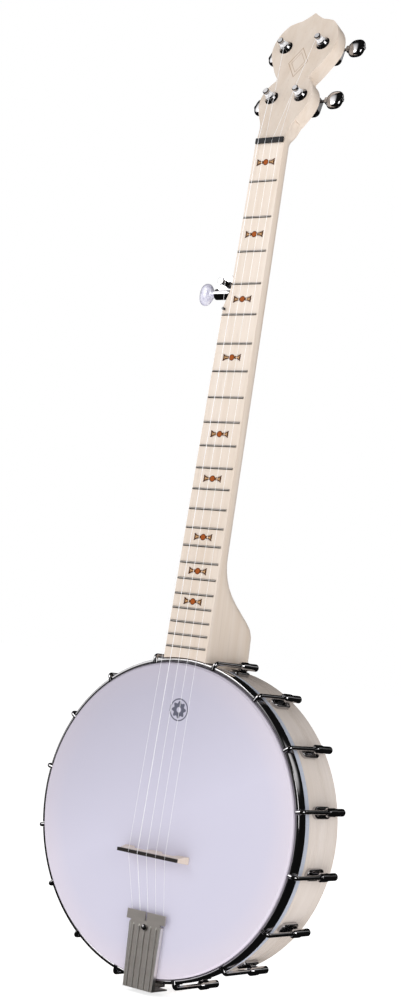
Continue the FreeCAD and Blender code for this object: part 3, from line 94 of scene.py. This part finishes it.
LOZENGE_HALF = (11.0 * MM, 17.0 * MM)
RIB_PITCH = 36.0 * MM / 5.6
RIB_HALF = 1.25
RIBS_REACH = 14.6 * MM
FOLD_START = 15.6 * MM
STAMP = (3.5 * MM, 98.0 * MM)
STAMP_RADIUS = 10.5 * MM

# ---------------------------------------------------------------- places, from the frame

NECK_LEAN = math.radians(3.54)
PEGHEAD_LEAN = math.radians(3.54 + 15.0)
hoop_low, hoop_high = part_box("tension_hoop")
POT_CENTRE = (hoop_low.z + hoop_high.z) / 2
POT_FRONT = hoop_low.y
HOOP_RADIUS = hoop_high.x
RIM_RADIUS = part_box("rim_outer_ply")[1].x
RIB_TOP = POT_CENTRE - 94.0 * MM


def leaned(points, lean):
    """Carries (across, up, forward) into the world for a plane that leans back from the nut."""
    across, up, forward = np.moveaxis(np.asarray(points, float), -1, 0)
    depth = up * math.sin(lean) - forward * math.cos(lean)
    height = up * math.cos(lean) + forward * math.sin(lean)
    return np.stack([across, depth, height], axis=-1)


def from_nut(place, lean):
    """The same journey back: a world place as (across, up, forward) for a leaning plane."""
    across, depth, height = place
    up = depth * math.sin(lean) + height * math.cos(lean)
    return across, up, height * math.sin(lean) - depth * math.cos(lean)


def on_pot(points):
    """Carries (across, up, forward) from the pot's centre and hoop face into the world."""
    across, up, forward = np.moveaxis(np.asarray(points, float), -1, 0)
    return np.stack([across, POT_FRONT - forward, POT_CENTRE + up], axis=-1)


# ---------------------------------------------------------------- materials


class Reading:
    """One socket of a material, with arithmetic: each operation adds one Math node."""

    def __init__(self, finish, socket):
        self.finish = finish
        self.socket = socket

    def math(self, operation, *others, clamp=False):
        """A Math node on this reading and other readings or numbers."""
        values = {index: value for index, value in enumerate((self,) + others)}
        return self.finish.node("ShaderNodeMath", {"operation": operation, "use_clamp": clamp}, values)

    def held(self, gain=1.0):
        """This reading times a gain, kept between 0 and 1."""
        return self.math("MULTIPLY", gain, clamp=True)

    def __add__(self, other):
        return self.math("ADD", other)

    def __sub__(self, other):
        return self.math("SUBTRACT", other)

    def __mul__(self, other):
        return self.math("MULTIPLY", other)

    def __truediv__(self, other):
        return self.math("DIVIDE", other)

    def __pow__(self, other):
        return self.math("POWER", other)

    def __rsub__(self, other):
        return self.finish.node("ShaderNodeMath", {"operation": "SUBTRACT"}, {0: other, 1: self})

    __radd__ = __add__
    __rmul__ = __mul__


class Finish:
    """One material: its surface shader and the patterns that feed it."""

    def __init__(self, name, **constants):
        self.material = bpy.data.materials.new(name)
        self.material.use_nodes = True
        self.tree = self.material.node_tree
        self.shader = self.tree.nodes["Principled BSDF"]
        for socket, value in constants.items():
            self.shader.inputs[socket.replace("_", " ")].default_value = value

    def node(self, kind, settings=None, values=None, output=0):
        """Adds a node: its settings first, then numbers or links on its sockets."""
        made = self.tree.nodes.new(kind)
        for key, value in (settings or {}).items():
            if key == "stops":
                ramp = made.color_ramp
                while len(ramp.elements) < len(value):
                    ramp.elements.new(0.5)
                for element, (place, colour) in zip(ramp.elements, value):
                    element.position = place
                    element.color = (*colour, 1.0)
            else:
                setattr(made, key, value)
        for key, value in (values or {}).items():
            if isinstance(value, Reading):
                self.tree.links.new(value.socket, made.inputs[key])
            else:
                made.inputs[key].default_value = value
        return Reading(self, made.outputs[output])

    def feed(self, socket, reading):
        """Links a reading to the shader."""
        self.tree.links.new(reading.socket, self.shader.inputs[socket])

    def place(self, scale=(1, 1, 1), turn=(0, 0, 0)):
        """Object coordinates, scaled and turned."""
        here = self.node("ShaderNodeTexCoord", output="Object")
        return self.node("ShaderNodeMapping", {}, {"Vector": here, "Rotation": turn, "Scale": scale})

    def axes(self):
        """Object coordinates as three readings."""
        here = self.node("ShaderNodeTexCoord", output="Object")
        return [self.node("ShaderNodeSeparateXYZ", {}, {0: here}, axis) for axis in range(3)]

    def noise(self, vector, size, detail=2.0, rough=0.5, distortion=0.0):
        """Noise from 0 to 1."""
        values = {"Vector": vector, "Scale": size, "Detail": detail, "Roughness": rough}
        values["Distortion"] = distortion
        return self.node("ShaderNodeTexNoise", {}, values)

    def ramp(self, reading, stops):
        """A colour from a value by its stops."""
        return self.node("ShaderNodeValToRGB", {"stops": stops}, {0: reading})

    def blend(self, factor, first, second):
        """A mix of two colours."""
        first = (*first, 1.0) if isinstance(first, tuple) else first
        second = (*second, 1.0) if isinstance(second, tuple) else second
        return self.node("ShaderNodeMix", {"data_type": "RGBA"}, {0: factor, 6: first, 7: second}, 2)

    def bump(self, height, distance, strength=1.0):
        """Relief from a height, in metres, on the shader's normal."""
        values = {"Height": height, "Distance": distance, "Strength": strength}
        relief = self.node("ShaderNodeBump", {}, values)
        self.feed("Normal", relief)


def lozenges(wood):
    """Two nested line lozenges on the peghead's face, from 0 to 1 where a line runs."""
    parts = wood.axes()
    lean = PEGHEAD_LEAN
    up = parts[1] * math.sin(lean) + parts[2] * math.cos(lean)
    forward = parts[2] * math.sin(lean) - parts[1] * math.cos(lean)
    across = parts[0].math("ABSOLUTE") / LOZENGE_HALF[0]
    reach = across + (up - LOZENGE_UP).math("ABSOLUTE") / LOZENGE_HALF[1]
    lines = [
        (half - (reach - place).math("ABSOLUTE")).held(60.0)
        for place, half in ((1.0, 0.05), (0.68, 0.035))
    ]
    face = (forward + 0.5 * MM).held(9000.0)
    return (lines[0] + lines[1]).math("MINIMUM", 1.0) * face


def maple(name, pale, dark, along):
    """Lacquered maple: long faint streaks, slow colour drift, short pores and soft figure."""
    wood = Finish(name, Specular_IOR_Level=0.45, Coat_Roughness=0.25)
    stretch = tuple(4.0 if index == along else 95.0 for index in range(3))
    fine = tuple(14.0 if index == along else 620.0 for index in range(3))
    streaks = wood.noise(wood.place(stretch), 1.0, 4.0, 0.6, 0.4)
    drift = wood.noise(wood.place((7.0, 7.0, 7.0)), 1.0, 1.0)
    pores = wood.noise(wood.place(fine), 1.0, 1.0)
    shade = (streaks - 0.32).held(2.6)
    colour = wood.blend(shade * 0.75 + drift * 0.25, pale, dark)
    speck = (pores - 0.62).held(5.0)
    colour = wood.blend(speck * 0.22, colour, tuple(value * 0.62 for value in dark))
    wood.feed("Base Color", wood.blend(lozenges(wood) * 0.7, colour, (0.36, 0.20, 0.09)))
    wood.feed("Roughness", streaks * 0.12 + 0.30)
    wood.feed("Coat Weight", 0.35 - drift * 0.15)
    wood.bump(streaks * 0.6 + pores * 0.4, 0.00005, 0.5)
    return wood.material


def bent_maple(name, pale, dark):
    """Maple bent round the pot: the same streaks, carried round by angle about its centre."""
    wood = Finish(name, Specular_IOR_Level=0.45, Coat_Roughness=0.2)
    parts = wood.axes()
    rise = parts[2] - POT_CENTRE
    radius = (parts[0] * parts[0] + rise * rise).math("SQRT")
    turn = parts[0].math("ARCTAN2", 0.0 - rise)
    swept = wood.node("ShaderNodeCombineXYZ", {}, {0: turn * 0.6, 1: radius * 160.0, 2: parts[1] * 110.0})
    streaks = wood.noise(swept, 1.0, 4.0, 0.6, 0.5)
    broad = wood.node("ShaderNodeCombineXYZ", {}, {0: turn * 2.4, 1: radius * 20.0, 2: parts[1] * 16.0})
    figure = wood.noise(broad, 1.0, 2.0)
    shade = (streaks * 0.6 + figure * 0.5 - 0.32).held(2.2)
    wood.feed("Base Color", wood.blend(shade, pale, dark))
    wood.feed("Roughness", streaks * 0.1 + 0.22)
    wood.feed("Coat Weight", 0.6 - figure * 0.2)
    wood.bump(streaks, 0.00004, 0.5)
    return wood.material


def plated(name, colour, rough, tarnish=0.15):
    """Polished plate: mirror-bright, with faint smears and slight darkening in patches."""
    metal = Finish(name, Metallic=1.0)
    smear = metal.noise(metal.place((60.0, 60.0, 60.0)), 1.0, 3.0, 0.6)
    patch = metal.noise(metal.place((240.0, 240.0, 240.0)), 1.0, 2.0)
    dull = tuple(value * (1 - tarnish) for value in colour)
    metal.feed("Base Color", metal.blend(patch, colour, dull))
    metal.feed("Roughness", smear * 0.08 + rough)
    metal.bump(patch, 0.00001, 0.25)
    return metal.material


def ribbed_plate():
    """Pressed nickel sheet: worn grey between its ribs, smoother along them and on its folds, with
    painted highlights there in a pale colour.
    """
    metal = Finish("tailpiece_nickel", Metallic=1.0)
    parts = metal.axes()
    smear = metal.noise(metal.place((60.0, 60.0, 260.0)), 1.0, 3.0, 0.6)
    across = parts[0].math("ABSOLUTE")
    phase = (parts[0] / RIB_PITCH + 20.5).math("FRACT")
    rib = (RIB_HALF * MM / RIB_PITCH - (phase - 0.5).math("ABSOLUTE") * RIB_HALF).held(7.0)
    inside = (RIBS_REACH - across).held(3000.0)
    below = (RIB_TOP - parts[2]).held(3000.0)
    fold = (across - FOLD_START).held(3000.0)
    # painted highlight: near-white colour along the ribs and on the folds below the bar; the same mask
    # also lowers the roughness there
    polish_and_painted_highlight = (rib * inside + fold).held() * below
    worn = metal.blend(smear, (0.60, 0.56, 0.52), (0.78, 0.72, 0.68))
    metal.feed("Base Color", metal.blend(polish_and_painted_highlight, worn, (0.98, 0.95, 0.90)))
    metal.feed("Roughness", 0.46 - polish_and_painted_highlight * 0.12 + smear * 0.08)
    metal.bump(smear, 0.00002, 0.4)
    return metal.material


def brushed(name, colour, rough, along, metallic=1.0):
    """Drawn or brushed metal: fine scratches along one axis."""
    metal = Finish(name, Metallic=metallic)
    stretch = tuple(60.0 if index == along else 2200.0 for index in range(3))
    lines = metal.noise(metal.place(stretch), 1.0, 2.0)
    metal.feed("Base Color", metal.blend(lines, colour, tuple(value * 0.75 for value in colour)))
    metal.feed("Roughness", lines * 0.15 + rough)
    metal.bump(lines, 0.00001, 0.3)
    return metal.material


def wire_steel():
    """Thin bright wire: pale drawn steel with a weak painted glow, so that it still shows."""
    white = (1.0, 1.0, 1.0, 1.0)
    # painted glow: a weak white emission on the wire and its windings, though they are no lamp
    wire = Finish("string_steel", Metallic=0.3, Emission_Color=white, Emission_Strength=0.22)
    lines = wire.noise(wire.place((900.0, 900.0, 60.0)), 1.0, 2.0)
    wire.feed("Base Color", wire.blend(lines, (0.92, 0.92, 0.94), (0.80, 0.80, 0.83)))
    wire.feed("Roughness", lines * 0.15 + 0.3)
    return wire.material


def black_polish(name, colour, along):
    """Black hardwood or horn: near-black with a faint brown grain and a polish."""
    wood = Finish(name, Specular_IOR_Level=0.08)
    stretch = tuple(30.0 if index == along else 900.0 for index in range(3))
    grain = wood.noise(wood.place(stretch), 1.0, 3.0)
    wood.feed("Base Color", wood.blend(grain, colour, tuple(value * 2.6 for value in colour)))
    wood.feed("Roughness", grain * 0.15 + 0.3)
    wood.bump(grain, 0.00003, 0.4)
    return wood.material


def inlay_wood():
    """Marquetry: each small plate is dark, red-brown or pale by its own tone, with a short grain."""
    wood = Finish("inlay", Specular_IOR_Level=0.06)
    tone = wood.node("ShaderNodeAttribute", {"attribute_name": "tone"}, output=2)
    grain = wood.noise(wood.place((900.0, 900.0, 200.0)), 1.0, 2.0)
    woods = [(0.0, (0.075, 0.026, 0.008)), (0.5, (0.42, 0.10, 0.02)), (1.0, (0.66, 0.46, 0.24))]
    colour = wood.ramp(tone, woods)
    wood.feed("Base Color", wood.blend(grain * 0.25, colour, (0.10, 0.035, 0.015)))
    wood.feed("Roughness", grain * 0.1 + 0.4)
    return wood.material


def head_film():
    """Frosted film, finely grained: cool in the middle, warmer by the rim, with a rosette printed on it.

    It carries painted shade, darker towards its upper left; the rosette is an eight-petalled flower in a
    thin ring.
    """
    film = Finish("head_film", Specular_IOR_Level=0.35)
    parts = film.axes()
    rise = parts[2] - POT_CENTRE
    radius = (parts[0] * parts[0] + rise * rise).math("SQRT") / RIM_RADIUS
    clouds = film.noise(film.place((9.0, 9.0, 9.0)), 1.0, 3.0)
    grain = film.noise(film.place((2600.0, 2600.0, 2600.0)), 1.0, 2.0)
    edge = ((radius - 0.62) * 2.6 + clouds * 0.25 - 0.12).held()
    tints = [(0.0, (0.66, 0.64, 0.77)), (0.55, (0.67, 0.645, 0.77)), (1.0, (0.74, 0.68, 0.77))]
    colour = film.ramp(edge, tints)
    colour = film.blend(grain * 0.12, colour, (0.50, 0.49, 0.60))
    # painted shade: the film is darkened towards its upper left
    painted_shade = (rise * 3.9 - parts[0] * 1.9).held()
    colour = film.blend(painted_shade, colour, (0.36, 0.345, 0.42))
    side = parts[0] - STAMP[0]
    over = rise - STAMP[1]
    reach = (side * side + over * over).math("SQRT") / STAMP_RADIUS
    petals = side.math("ARCTAN2", over).math("MULTIPLY", 8.0).math("COSINE")
    flower = (0.70 + petals * 0.10 - reach).held(14.0)
    eye = (reach - 0.2).held(14.0)
    rim = (0.08 - (reach - 0.92).math("ABSOLUTE")).held(22.0)
    ink = (flower * eye + rim).held(0.85)
    film.feed("Base Color", film.blend(ink, colour, (0.035, 0.04, 0.075)))
    film.feed("Roughness", clouds * 0.1 + 0.42)
    film.bump(grain, 0.00003, 0.35)
    return film.material


def pearl_plastic():
    """Pearly plastic: pale lavender with drifting milky swirls."""
    plastic = Finish("pearloid", Specular_IOR_Level=0.6, Coat_Roughness=0.08)
    swirl = plastic.noise(plastic.place((170.0, 170.0, 170.0)), 1.0, 4.0, 0.6, 2.2)
    colour = plastic.ramp(
        swirl, [(0.3, (0.46, 0.44, 0.58)), (0.5, (0.70, 0.69, 0.82)), (0.72, (0.93, 0.93, 0.97))]
    )
    plastic.feed("Base Color", colour)
    plastic.feed("Roughness", swirl * 0.15 + 0.12)
    plastic.feed("Coat Weight", swirl * 0.3 + 0.5)
    return plastic.material


MATERIALS = {
    "maple": maple("maple", (0.80, 0.70, 0.615), (0.71, 0.585, 0.475), 2),
    "rim_maple": bent_maple("rim_maple", (0.82, 0.74, 0.69), (0.66, 0.57, 0.50)),
    "ebony": black_polish("ebony", (0.016, 0.014, 0.013), 0),
    "black_nut": black_polish("black_nut", (0.012, 0.012, 0.013), 0),
    "inlay": inlay_wood(),
    "fret_wire": brushed("fret_wire", (0.30, 0.28, 0.26), 0.22, 0),
    "head_film": head_film(),
    "nickel": plated("nickel", (0.56, 0.55, 0.56), 0.05),
    "aluminium": brushed("aluminium", (0.80, 0.85, 0.98), 0.4, 1, 0.4),
    "tailpiece_nickel": ribbed_plate(),
    "steel": brushed("steel", (0.40, 0.40, 0.42), 0.26, 2),
    "string_steel": wire_steel(),
    "brass": brushed("brass", (0.62, 0.45, 0.18), 0.22, 2),
    "pearloid": pearl_plastic(),
}
for part in frame["record"]["subparts"]:
    slots = frame["nodes"][part["node"]].data.materials
    slots.clear()
    slots.append(MATERIALS[part["material_slot"]])

# ---------------------------------------------------------------- surfaces


def skin(rows, ring=False):
    """Quads over rows of points, each row closed on itself; ends are capped or joined in a ring."""
    count, around = rows.shape[:2]
    row = np.arange(count if ring else count - 1)[:, None]
    column = np.arange(around)[None, :]
    after = (column + 1) % around
    this_row = row * around
    next_row = (row + 1) % count * around
    corners = [this_row + column, this_row + after, next_row + after, next_row + column]
    faces = np.stack(corners, axis=-1).reshape(-1, 4).tolist()
    if not ring:
        faces.append(list(range(around))[::-1])
        faces.append(list(range((count - 1) * around, count * around)))
    return rows.reshape(-1, 3), faces


def outward(points, faces):
    """The faces, turned over if the solid they close has a negative volume."""
    triangles = np.array([(face[0], a, b) for face in faces for a, b in zip(face[1:], face[2:])])
    first, second, third = (points[triangles[:, corner]] for corner in range(3))
    volume = np.sum(first * np.cross(second, third))
    return faces if volume > 0 else [face[::-1] for face in faces]


def add_piece(name, skins, body, slot, stands_for=(), crease=38.0):
    """One object from closed skins, riding a moving body and taking a slot's material."""
    points = []
    faces = []
    for skin_points, skin_faces in skins:
        start = sum(len(block) for block in points)
        for face in outward(skin_points - skin_points.mean(axis=0), skin_faces):
            faces.append([start + corner for corner in face])
        points.append(skin_points)
    mesh = bpy.data.meshes.new(name)
    mesh.from_pydata(np.concatenate(points).tolist(), [], faces)
    mesh.polygons.foreach_set("use_smooth", np.ones(len(faces), bool))
    mesh.set_sharp_from_angle(angle=math.radians(crease))
    made = bpy.data.objects.new(name, mesh)
    scene.collection.objects.link(made)
    mesh.materials.append(MATERIALS[slot])
    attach(made, body)
    if stands_for:
        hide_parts(*stands_for)
    return made


def rounded_section(inner, outer, back, front, corner, steps=5):
    """A closed rectangle with round corners, as (across, forward) points."""
    sweep = np.linspace(0.0, math.pi / 2, steps)
    points = []
    middles = [(outer, front, 0), (inner, front, 1), (inner, back, 2), (outer, back, 3)]
    for across, forward, quarter in middles:
        centre = np.array([across, forward]) - corner * np.array(
            [1 if across == outer else -1, 1 if forward == front else -1]
        )
        angle = sweep + quarter * math.pi / 2
        points.append(centre + corner * np.stack([np.cos(angle), np.sin(angle)], axis=-1))
    return np.concatenate(points)


def hook_angles():
    """Angles of the hooks in degrees from the neck, one side and then the other."""
    right = np.linspace(FIRST_HOOK, 180.0 - FIRST_HOOK, HOOKS_A_SIDE)
    return np.concatenate([right, -right])


def make_hoop():
    """The tension hoop: a round-cornered band, lowered in a square notch at every hook.

    Each row is the band's section at one angle; inside a notch its front is drawn back.
    """
    high = hoop_high.y - hoop_low.y
    section = rounded_section(HOOP_RADIUS - HOOP_THICK, HOOP_RADIUS, -high, 0.0, HOOP_CORNER)
    half = math.degrees(NOTCH_HALF / HOOP_RADIUS)
    angles = list(np.arange(0.0, 360.0, 1.5))
    for hook in hook_angles() % 360:
        angles = [angle for angle in angles if abs(angle - hook) > half + 0.1]
        angles += [hook - half - 0.02, hook - half, hook + half, hook + half + 0.02]
    angles = np.sort(np.array(angles))
    gap = np.min(np.abs(angles[:, None] - (hook_angles() % 360)[None, :]), axis=1)
    share = np.where(gap <= half + 0.005, 1.0 - NOTCH_DEEP / high, 1.0)
    turn = np.radians(angles)[:, None]
    forward = (section[None, :, 1] + high) * share[:, None] - high
    across = section[None, :, 0] * np.sin(turn)
    up = section[None, :, 0] * np.cos(turn)
    rows = on_pot(np.stack([across, up, forward], axis=-1))
    add_piece("tension_hoop_band", [skin(rows, ring=True)], "frame", "nickel", ["tension_hoop"])


def button_rows(inner, outer, length, tall, thick, power):
    """Sections of an oval button along its shaft: a round collar that swells into a soft-edged oval.

    At each place the half height and half thickness follow a superellipse, and never fall
    below the collar's radius on the inner side; columns run round a superellipse too.
    """
    middle = outer - length / 2
    turn = np.linspace(0.0, math.pi / 2, 15)
    start = [inner, inner + 0.3 * MM]
    near = middle - length / 2 * np.cos(turn)
    far = middle + length / 2 * np.sin(turn[1:])
    along = np.concatenate([start, near, far])
    share = np.clip(np.abs(along - middle) / (length / 2), 0.0, 1.0)
    swell = np.maximum((1 - share**power), 1e-6) ** (1 / power)
    collar = np.where(along < middle, COLLAR_RADIUS, 0.9 * MM)
    collar[0] = COLLAR_RADIUS - 0.3 * MM
    around = np.linspace(0.0, 2 * math.pi, 48, endpoint=False)
    shape = 2 / 2.5
    up = np.sign(np.cos(around)) * np.abs(np.cos(around)) ** shape
    forward = np.sign(np.sin(around)) * np.abs(np.sin(around)) ** shape
    half_tall = np.maximum(swell * tall / 2, collar)[:, None]
    half_thick = np.maximum(swell * thick / 2, collar)[:, None]
    across = np.repeat(along[:, None], len(around), axis=1)
    return np.stack([across, half_tall * up, half_thick * forward], axis=-1)


def joints_named(start, end):
    """The joints whose names start and end as given."""
    joints = frame["record"]["behaviour"]["joints"]
    return [joint for joint in joints if joint["name"].startswith(start) and joint["name"].endswith(end)]


def make_buttons():
    """Plated buttons on the four tuners and a pearly one on the fifth peg."""
    for joint in joints_named("", "_button_turn"):
        name = joint["name"].replace("_turn", "")
        fifth = name.startswith("peg5")
        lean = NECK_LEAN if fifth else PEGHEAD_LEAN
        low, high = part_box(name)
        ends = sorted([abs(low.x), abs(high.x)])
        length, tall, thick = BUTTON_FIFTH if fifth else BUTTON
        rows = button_rows(ends[0], ends[1], length, tall, thick, 2.2 if fifth else 2.7)
        _, up, forward = from_nut(joint["pos_m"], lean)
        rows[..., 0] *= joint["axis"][0]
        rows[..., 1] += up
        rows[..., 2] += forward
        slot = "pearloid" if fifth else "nickel"
        add_piece(name + "_oval", [skin(leaned(rows, lean))], joint["child"], slot, [name])


def helix(turns, radius, wire, low, high):
    """A wire wound round a post: round sections along a helix, eight points to a section."""
    count = int(turns * 30)
    turn = np.linspace(0.0, turns * 2 * math.pi, count)[:, None]
    rise = np.linspace(low, high, count)[:, None]
    around = np.linspace(0.0, 2 * math.pi, 8, endpoint=False)[None, :]
    reach = radius + wire * np.cos(around)
    across = reach * np.cos(turn)
    up = reach * np.sin(turn)
    return np.stack([across, up, rise + wire * np.sin(around)], axis=-1)


def make_windings():
    """String wound on the four posts, between the washer and each post's cap."""
    for joint in joints_named("tuner", "_post_turn"):
        across, up, forward = from_nut(joint["pos_m"], PEGHEAD_LEAN)
        rows = helix(WINDING_TURNS, WINDING_RADIUS, WINDING_WIRE, *WINDING_ENDS)
        rows += np.array([across, up, forward])
        name = joint["name"].replace("_post_turn", "_winding")
        add_piece(name, [skin(leaned(rows, PEGHEAD_LEAN))], joint["child"], "string_steel")


def fret_distance(number):
    """Nut to fret, in equal temperament."""
    return SCALE * (1 - 2 ** (-number / 12))


def board_middle(along):
    """Middle of the fretted width, at a distance down from the nut."""
    share = min(max((along - STEP_START) / STEP_LONG, 0.0), 1.0)
    bass = BASS_HALF + BASS_STEP * share * share * (3 - 2 * share)
    return (TREBLE_HALF + TREBLE_FLARE * along - bass) / 2


def plate(outline, low, high, tone, middle, along):
    """A thin plate on the board: its skin, and the tone of its wood for each of its points."""
    flat = np.asarray(outline, float) + np.array([middle, -along])
    rows = np.stack([np.column_stack([flat, np.full(len(flat), level)]) for level in (low, high)])
    points, faces = skin(leaned(rows, NECK_LEAN))
    return points, faces, np.full(len(points), tone)


def bow_tie(sign, shrink):
    """One fishtailed wing of a marker, in millimetres; shrink draws its outline in to its middle."""
    centre = np.array([6.6, 0.0])
    half = [(2.2, 1.25), (5.2, 1.15), (8.0, 2.1), (9.8, 3.4), (10.2, 3.2), (9.4, 0.0)]
    points = half + [(across, -up) for across, up in half[-2::-1]]
    points = (np.array(points) - centre) * shrink + centre
    return points * np.array([sign, 1.0]) * MM


def make_markers():
    """Nine bow-tie inlays: a dark outline, golden wings and a red-brown centre."""
    wing_core = np.array([0.60, 0.42])
    turn = np.linspace(0.0, 2 * math.pi, 28, endpoint=False)
    disc = np.stack([np.cos(turn), np.sin(turn)], axis=-1)
    plates = []
    for number in MARKED_FRETS:
        along = (fret_distance(number - 1) + fret_distance(number)) / 2
        spot = (board_middle(along), along)
        for sign in (1, -1):
            plates.append(plate(bow_tie(sign, 1.0), -0.5 * MM, 0.03 * MM, 0.0, *spot))
            plates.append(plate(bow_tie(sign, wing_core), -0.4 * MM, 0.05 * MM, 0.85, *spot))
        plates.append(plate(disc * 3.0 * MM, -0.5 * MM, 0.06 * MM, 0.0, *spot))
        plates.append(plate(disc * 2.4 * MM, -0.4 * MM, 0.08 * MM, 0.5, *spot))
    skins = [(points, faces) for points, faces, _ in plates]
    made = add_piece("marker_inlays", skins, "frame", "inlay", ["position_markers"])
    tones = made.data.attributes.new("tone", "FLOAT", "POINT")
    tones.data.foreach_set("value", np.concatenate([tone for _, _, tone in plates]))


make_hoop()
make_buttons()
make_windings()
make_markers()

# ---------------------------------------------------------------- stage, light and camera


def make_stage():
    """A wide pale floor just under the instrument."""
    half = 30.0
    mesh = bpy.data.meshes.new("floor")
    level = cad_low.z
    corners = [(-half, -half, level), (half, -half, level), (half, half, level), (-half, half, level)]
    mesh.from_pydata(corners, [], [(0, 1, 2, 3)])
    floor = bpy.data.objects.new("floor", mesh)
    scene.collection.objects.link(floor)
    paint = Finish("floor_paint", Base_Color=(0.86, 0.86, 0.86, 1.0), Specular_IOR_Level=0.1)
    grain = paint.noise(paint.place((3.0, 3.0, 3.0)), 1.0)
    paint.feed("Roughness", grain * 0.1 + 0.8)
    paint.shader.inputs["Emission Color"].default_value = (1.0, 1.0, 1.0, 1.0)
    paint.shader.inputs["Emission Strength"].default_value = 0.75
    mesh.materials.append(paint.material)
    floor.visible_glossy = False


def make_world():
    """A white surround; surfaces are lit by a soft room, and mirrors see mostly a dark one."""
    world = bpy.data.worlds.new("studio")
    scene.world = world
    world.use_nodes = True
    nodes = world.node_tree.nodes
    links = world.node_tree.links
    path = nodes.new("ShaderNodeLightPath")
    place = nodes.new("ShaderNodeTexCoord")

    def glow(strength, towards=None, narrow=(0.0, 1.0)):
        """An even glow, or one that brightens smoothly towards a direction."""
        lit = nodes.new("ShaderNodeBackground")
        lit.inputs["Color"].default_value = (1.0, 1.0, 1.0, 1.0)
        lit.inputs["Strength"].default_value = strength[1]
        if towards:
            facing = nodes.new("ShaderNodeVectorMath")
            facing.operation = "DOT_PRODUCT"
            facing.inputs[1].default_value = towards
            ramp = nodes.new("ShaderNodeMapRange")
            ramp.interpolation_type = "SMOOTHSTEP"
            for key, value in zip(("From Min", "From Max", "To Min", "To Max"), narrow + strength):
                ramp.inputs[key].default_value = value
            links.new(place.outputs["Generated"], facing.inputs[0])
            links.new(facing.outputs["Value"], ramp.inputs["Value"])
            links.new(ramp.outputs["Result"], lit.inputs["Strength"])
        return lit.outputs["Background"]

    def pick(ray, otherwise, chosen):
        """The chosen glow for one kind of ray, and the other for the rest."""
        mix = nodes.new("ShaderNodeMixShader")
        links.new(path.outputs[ray], mix.inputs["Fac"])
        links.new(otherwise, mix.inputs[1])
        links.new(chosen, mix.inputs[2])
        return mix.outputs["Shader"]

    room = glow((0.35, 0.46), (0.30, -0.60, 0.74), (-0.9, 0.9))
    ahead = glow((0.008, 1.9), (-0.66, -0.62, 0.42), (0.84, 0.99))
    behind = glow((0.0, 0.9), (0.50, 0.72, 0.48), (0.97, 0.998))
    both = nodes.new("ShaderNodeAddShader")
    links.new(ahead, both.inputs[0])
    links.new(behind, both.inputs[1])
    mirrored = both.outputs["Shader"]
    seen = glow((1.0, 1.0))
    lit = pick("Is Camera Ray", pick("Is Glossy Ray", room, mirrored), seen)
    links.new(lit, nodes["World Output"].inputs["Surface"])


def area_light(name, place, target, size, power):
    """A soft square lamp that faces a point."""
    lamp = bpy.data.lights.new(name, "AREA")
    lamp.size = size
    lamp.energy = power
    piece = bpy.data.objects.new(name, lamp)
    scene.collection.objects.link(piece)
    piece.location = place
    piece.rotation_mode = "QUATERNION"
    piece.rotation_quaternion = (Vector(target) - Vector(place)).to_track_quat("-Z", "Y")


def make_camera():
    """A long lens a step to the treble side, a little below the middle and slightly rolled."""
    azimuth, elevation, roll = (math.radians(angle) for angle in (37.09, -4.96, 7.35))
    distance = 1.608
    aim = Vector((0.0082, -0.046, -0.346))
    flat = math.cos(elevation)
    away = Vector((math.sin(azimuth) * flat, -math.cos(azimuth) * flat, math.sin(elevation)))
    level = Vector((math.cos(azimuth), math.sin(azimuth), 0.0))
    above = away.cross(level)
    right = level * math.cos(roll) + above * math.sin(roll)
    camera = bpy.data.objects.new("camera", bpy.data.cameras.new("camera"))
    scene.collection.objects.link(camera)
    turn = Matrix((right, away.cross(right), away)).transposed()
    camera.matrix_world = Matrix.Translation(aim + away * distance) @ turn.to_4x4()
    camera.data.lens = 64.29
    camera.data.sensor_width = 36.0
    scene.camera = camera


make_stage()
make_world()
middle = (0.0, 0.0, -0.35)
area_light("key", (-1.3, -2.3, 0.9), middle, 1.2, 16)
area_light("fill", (2.6, -0.9, 0.3), middle, 1.5, 21)
make_camera()
scene.view_settings.view_transform = "Standard"
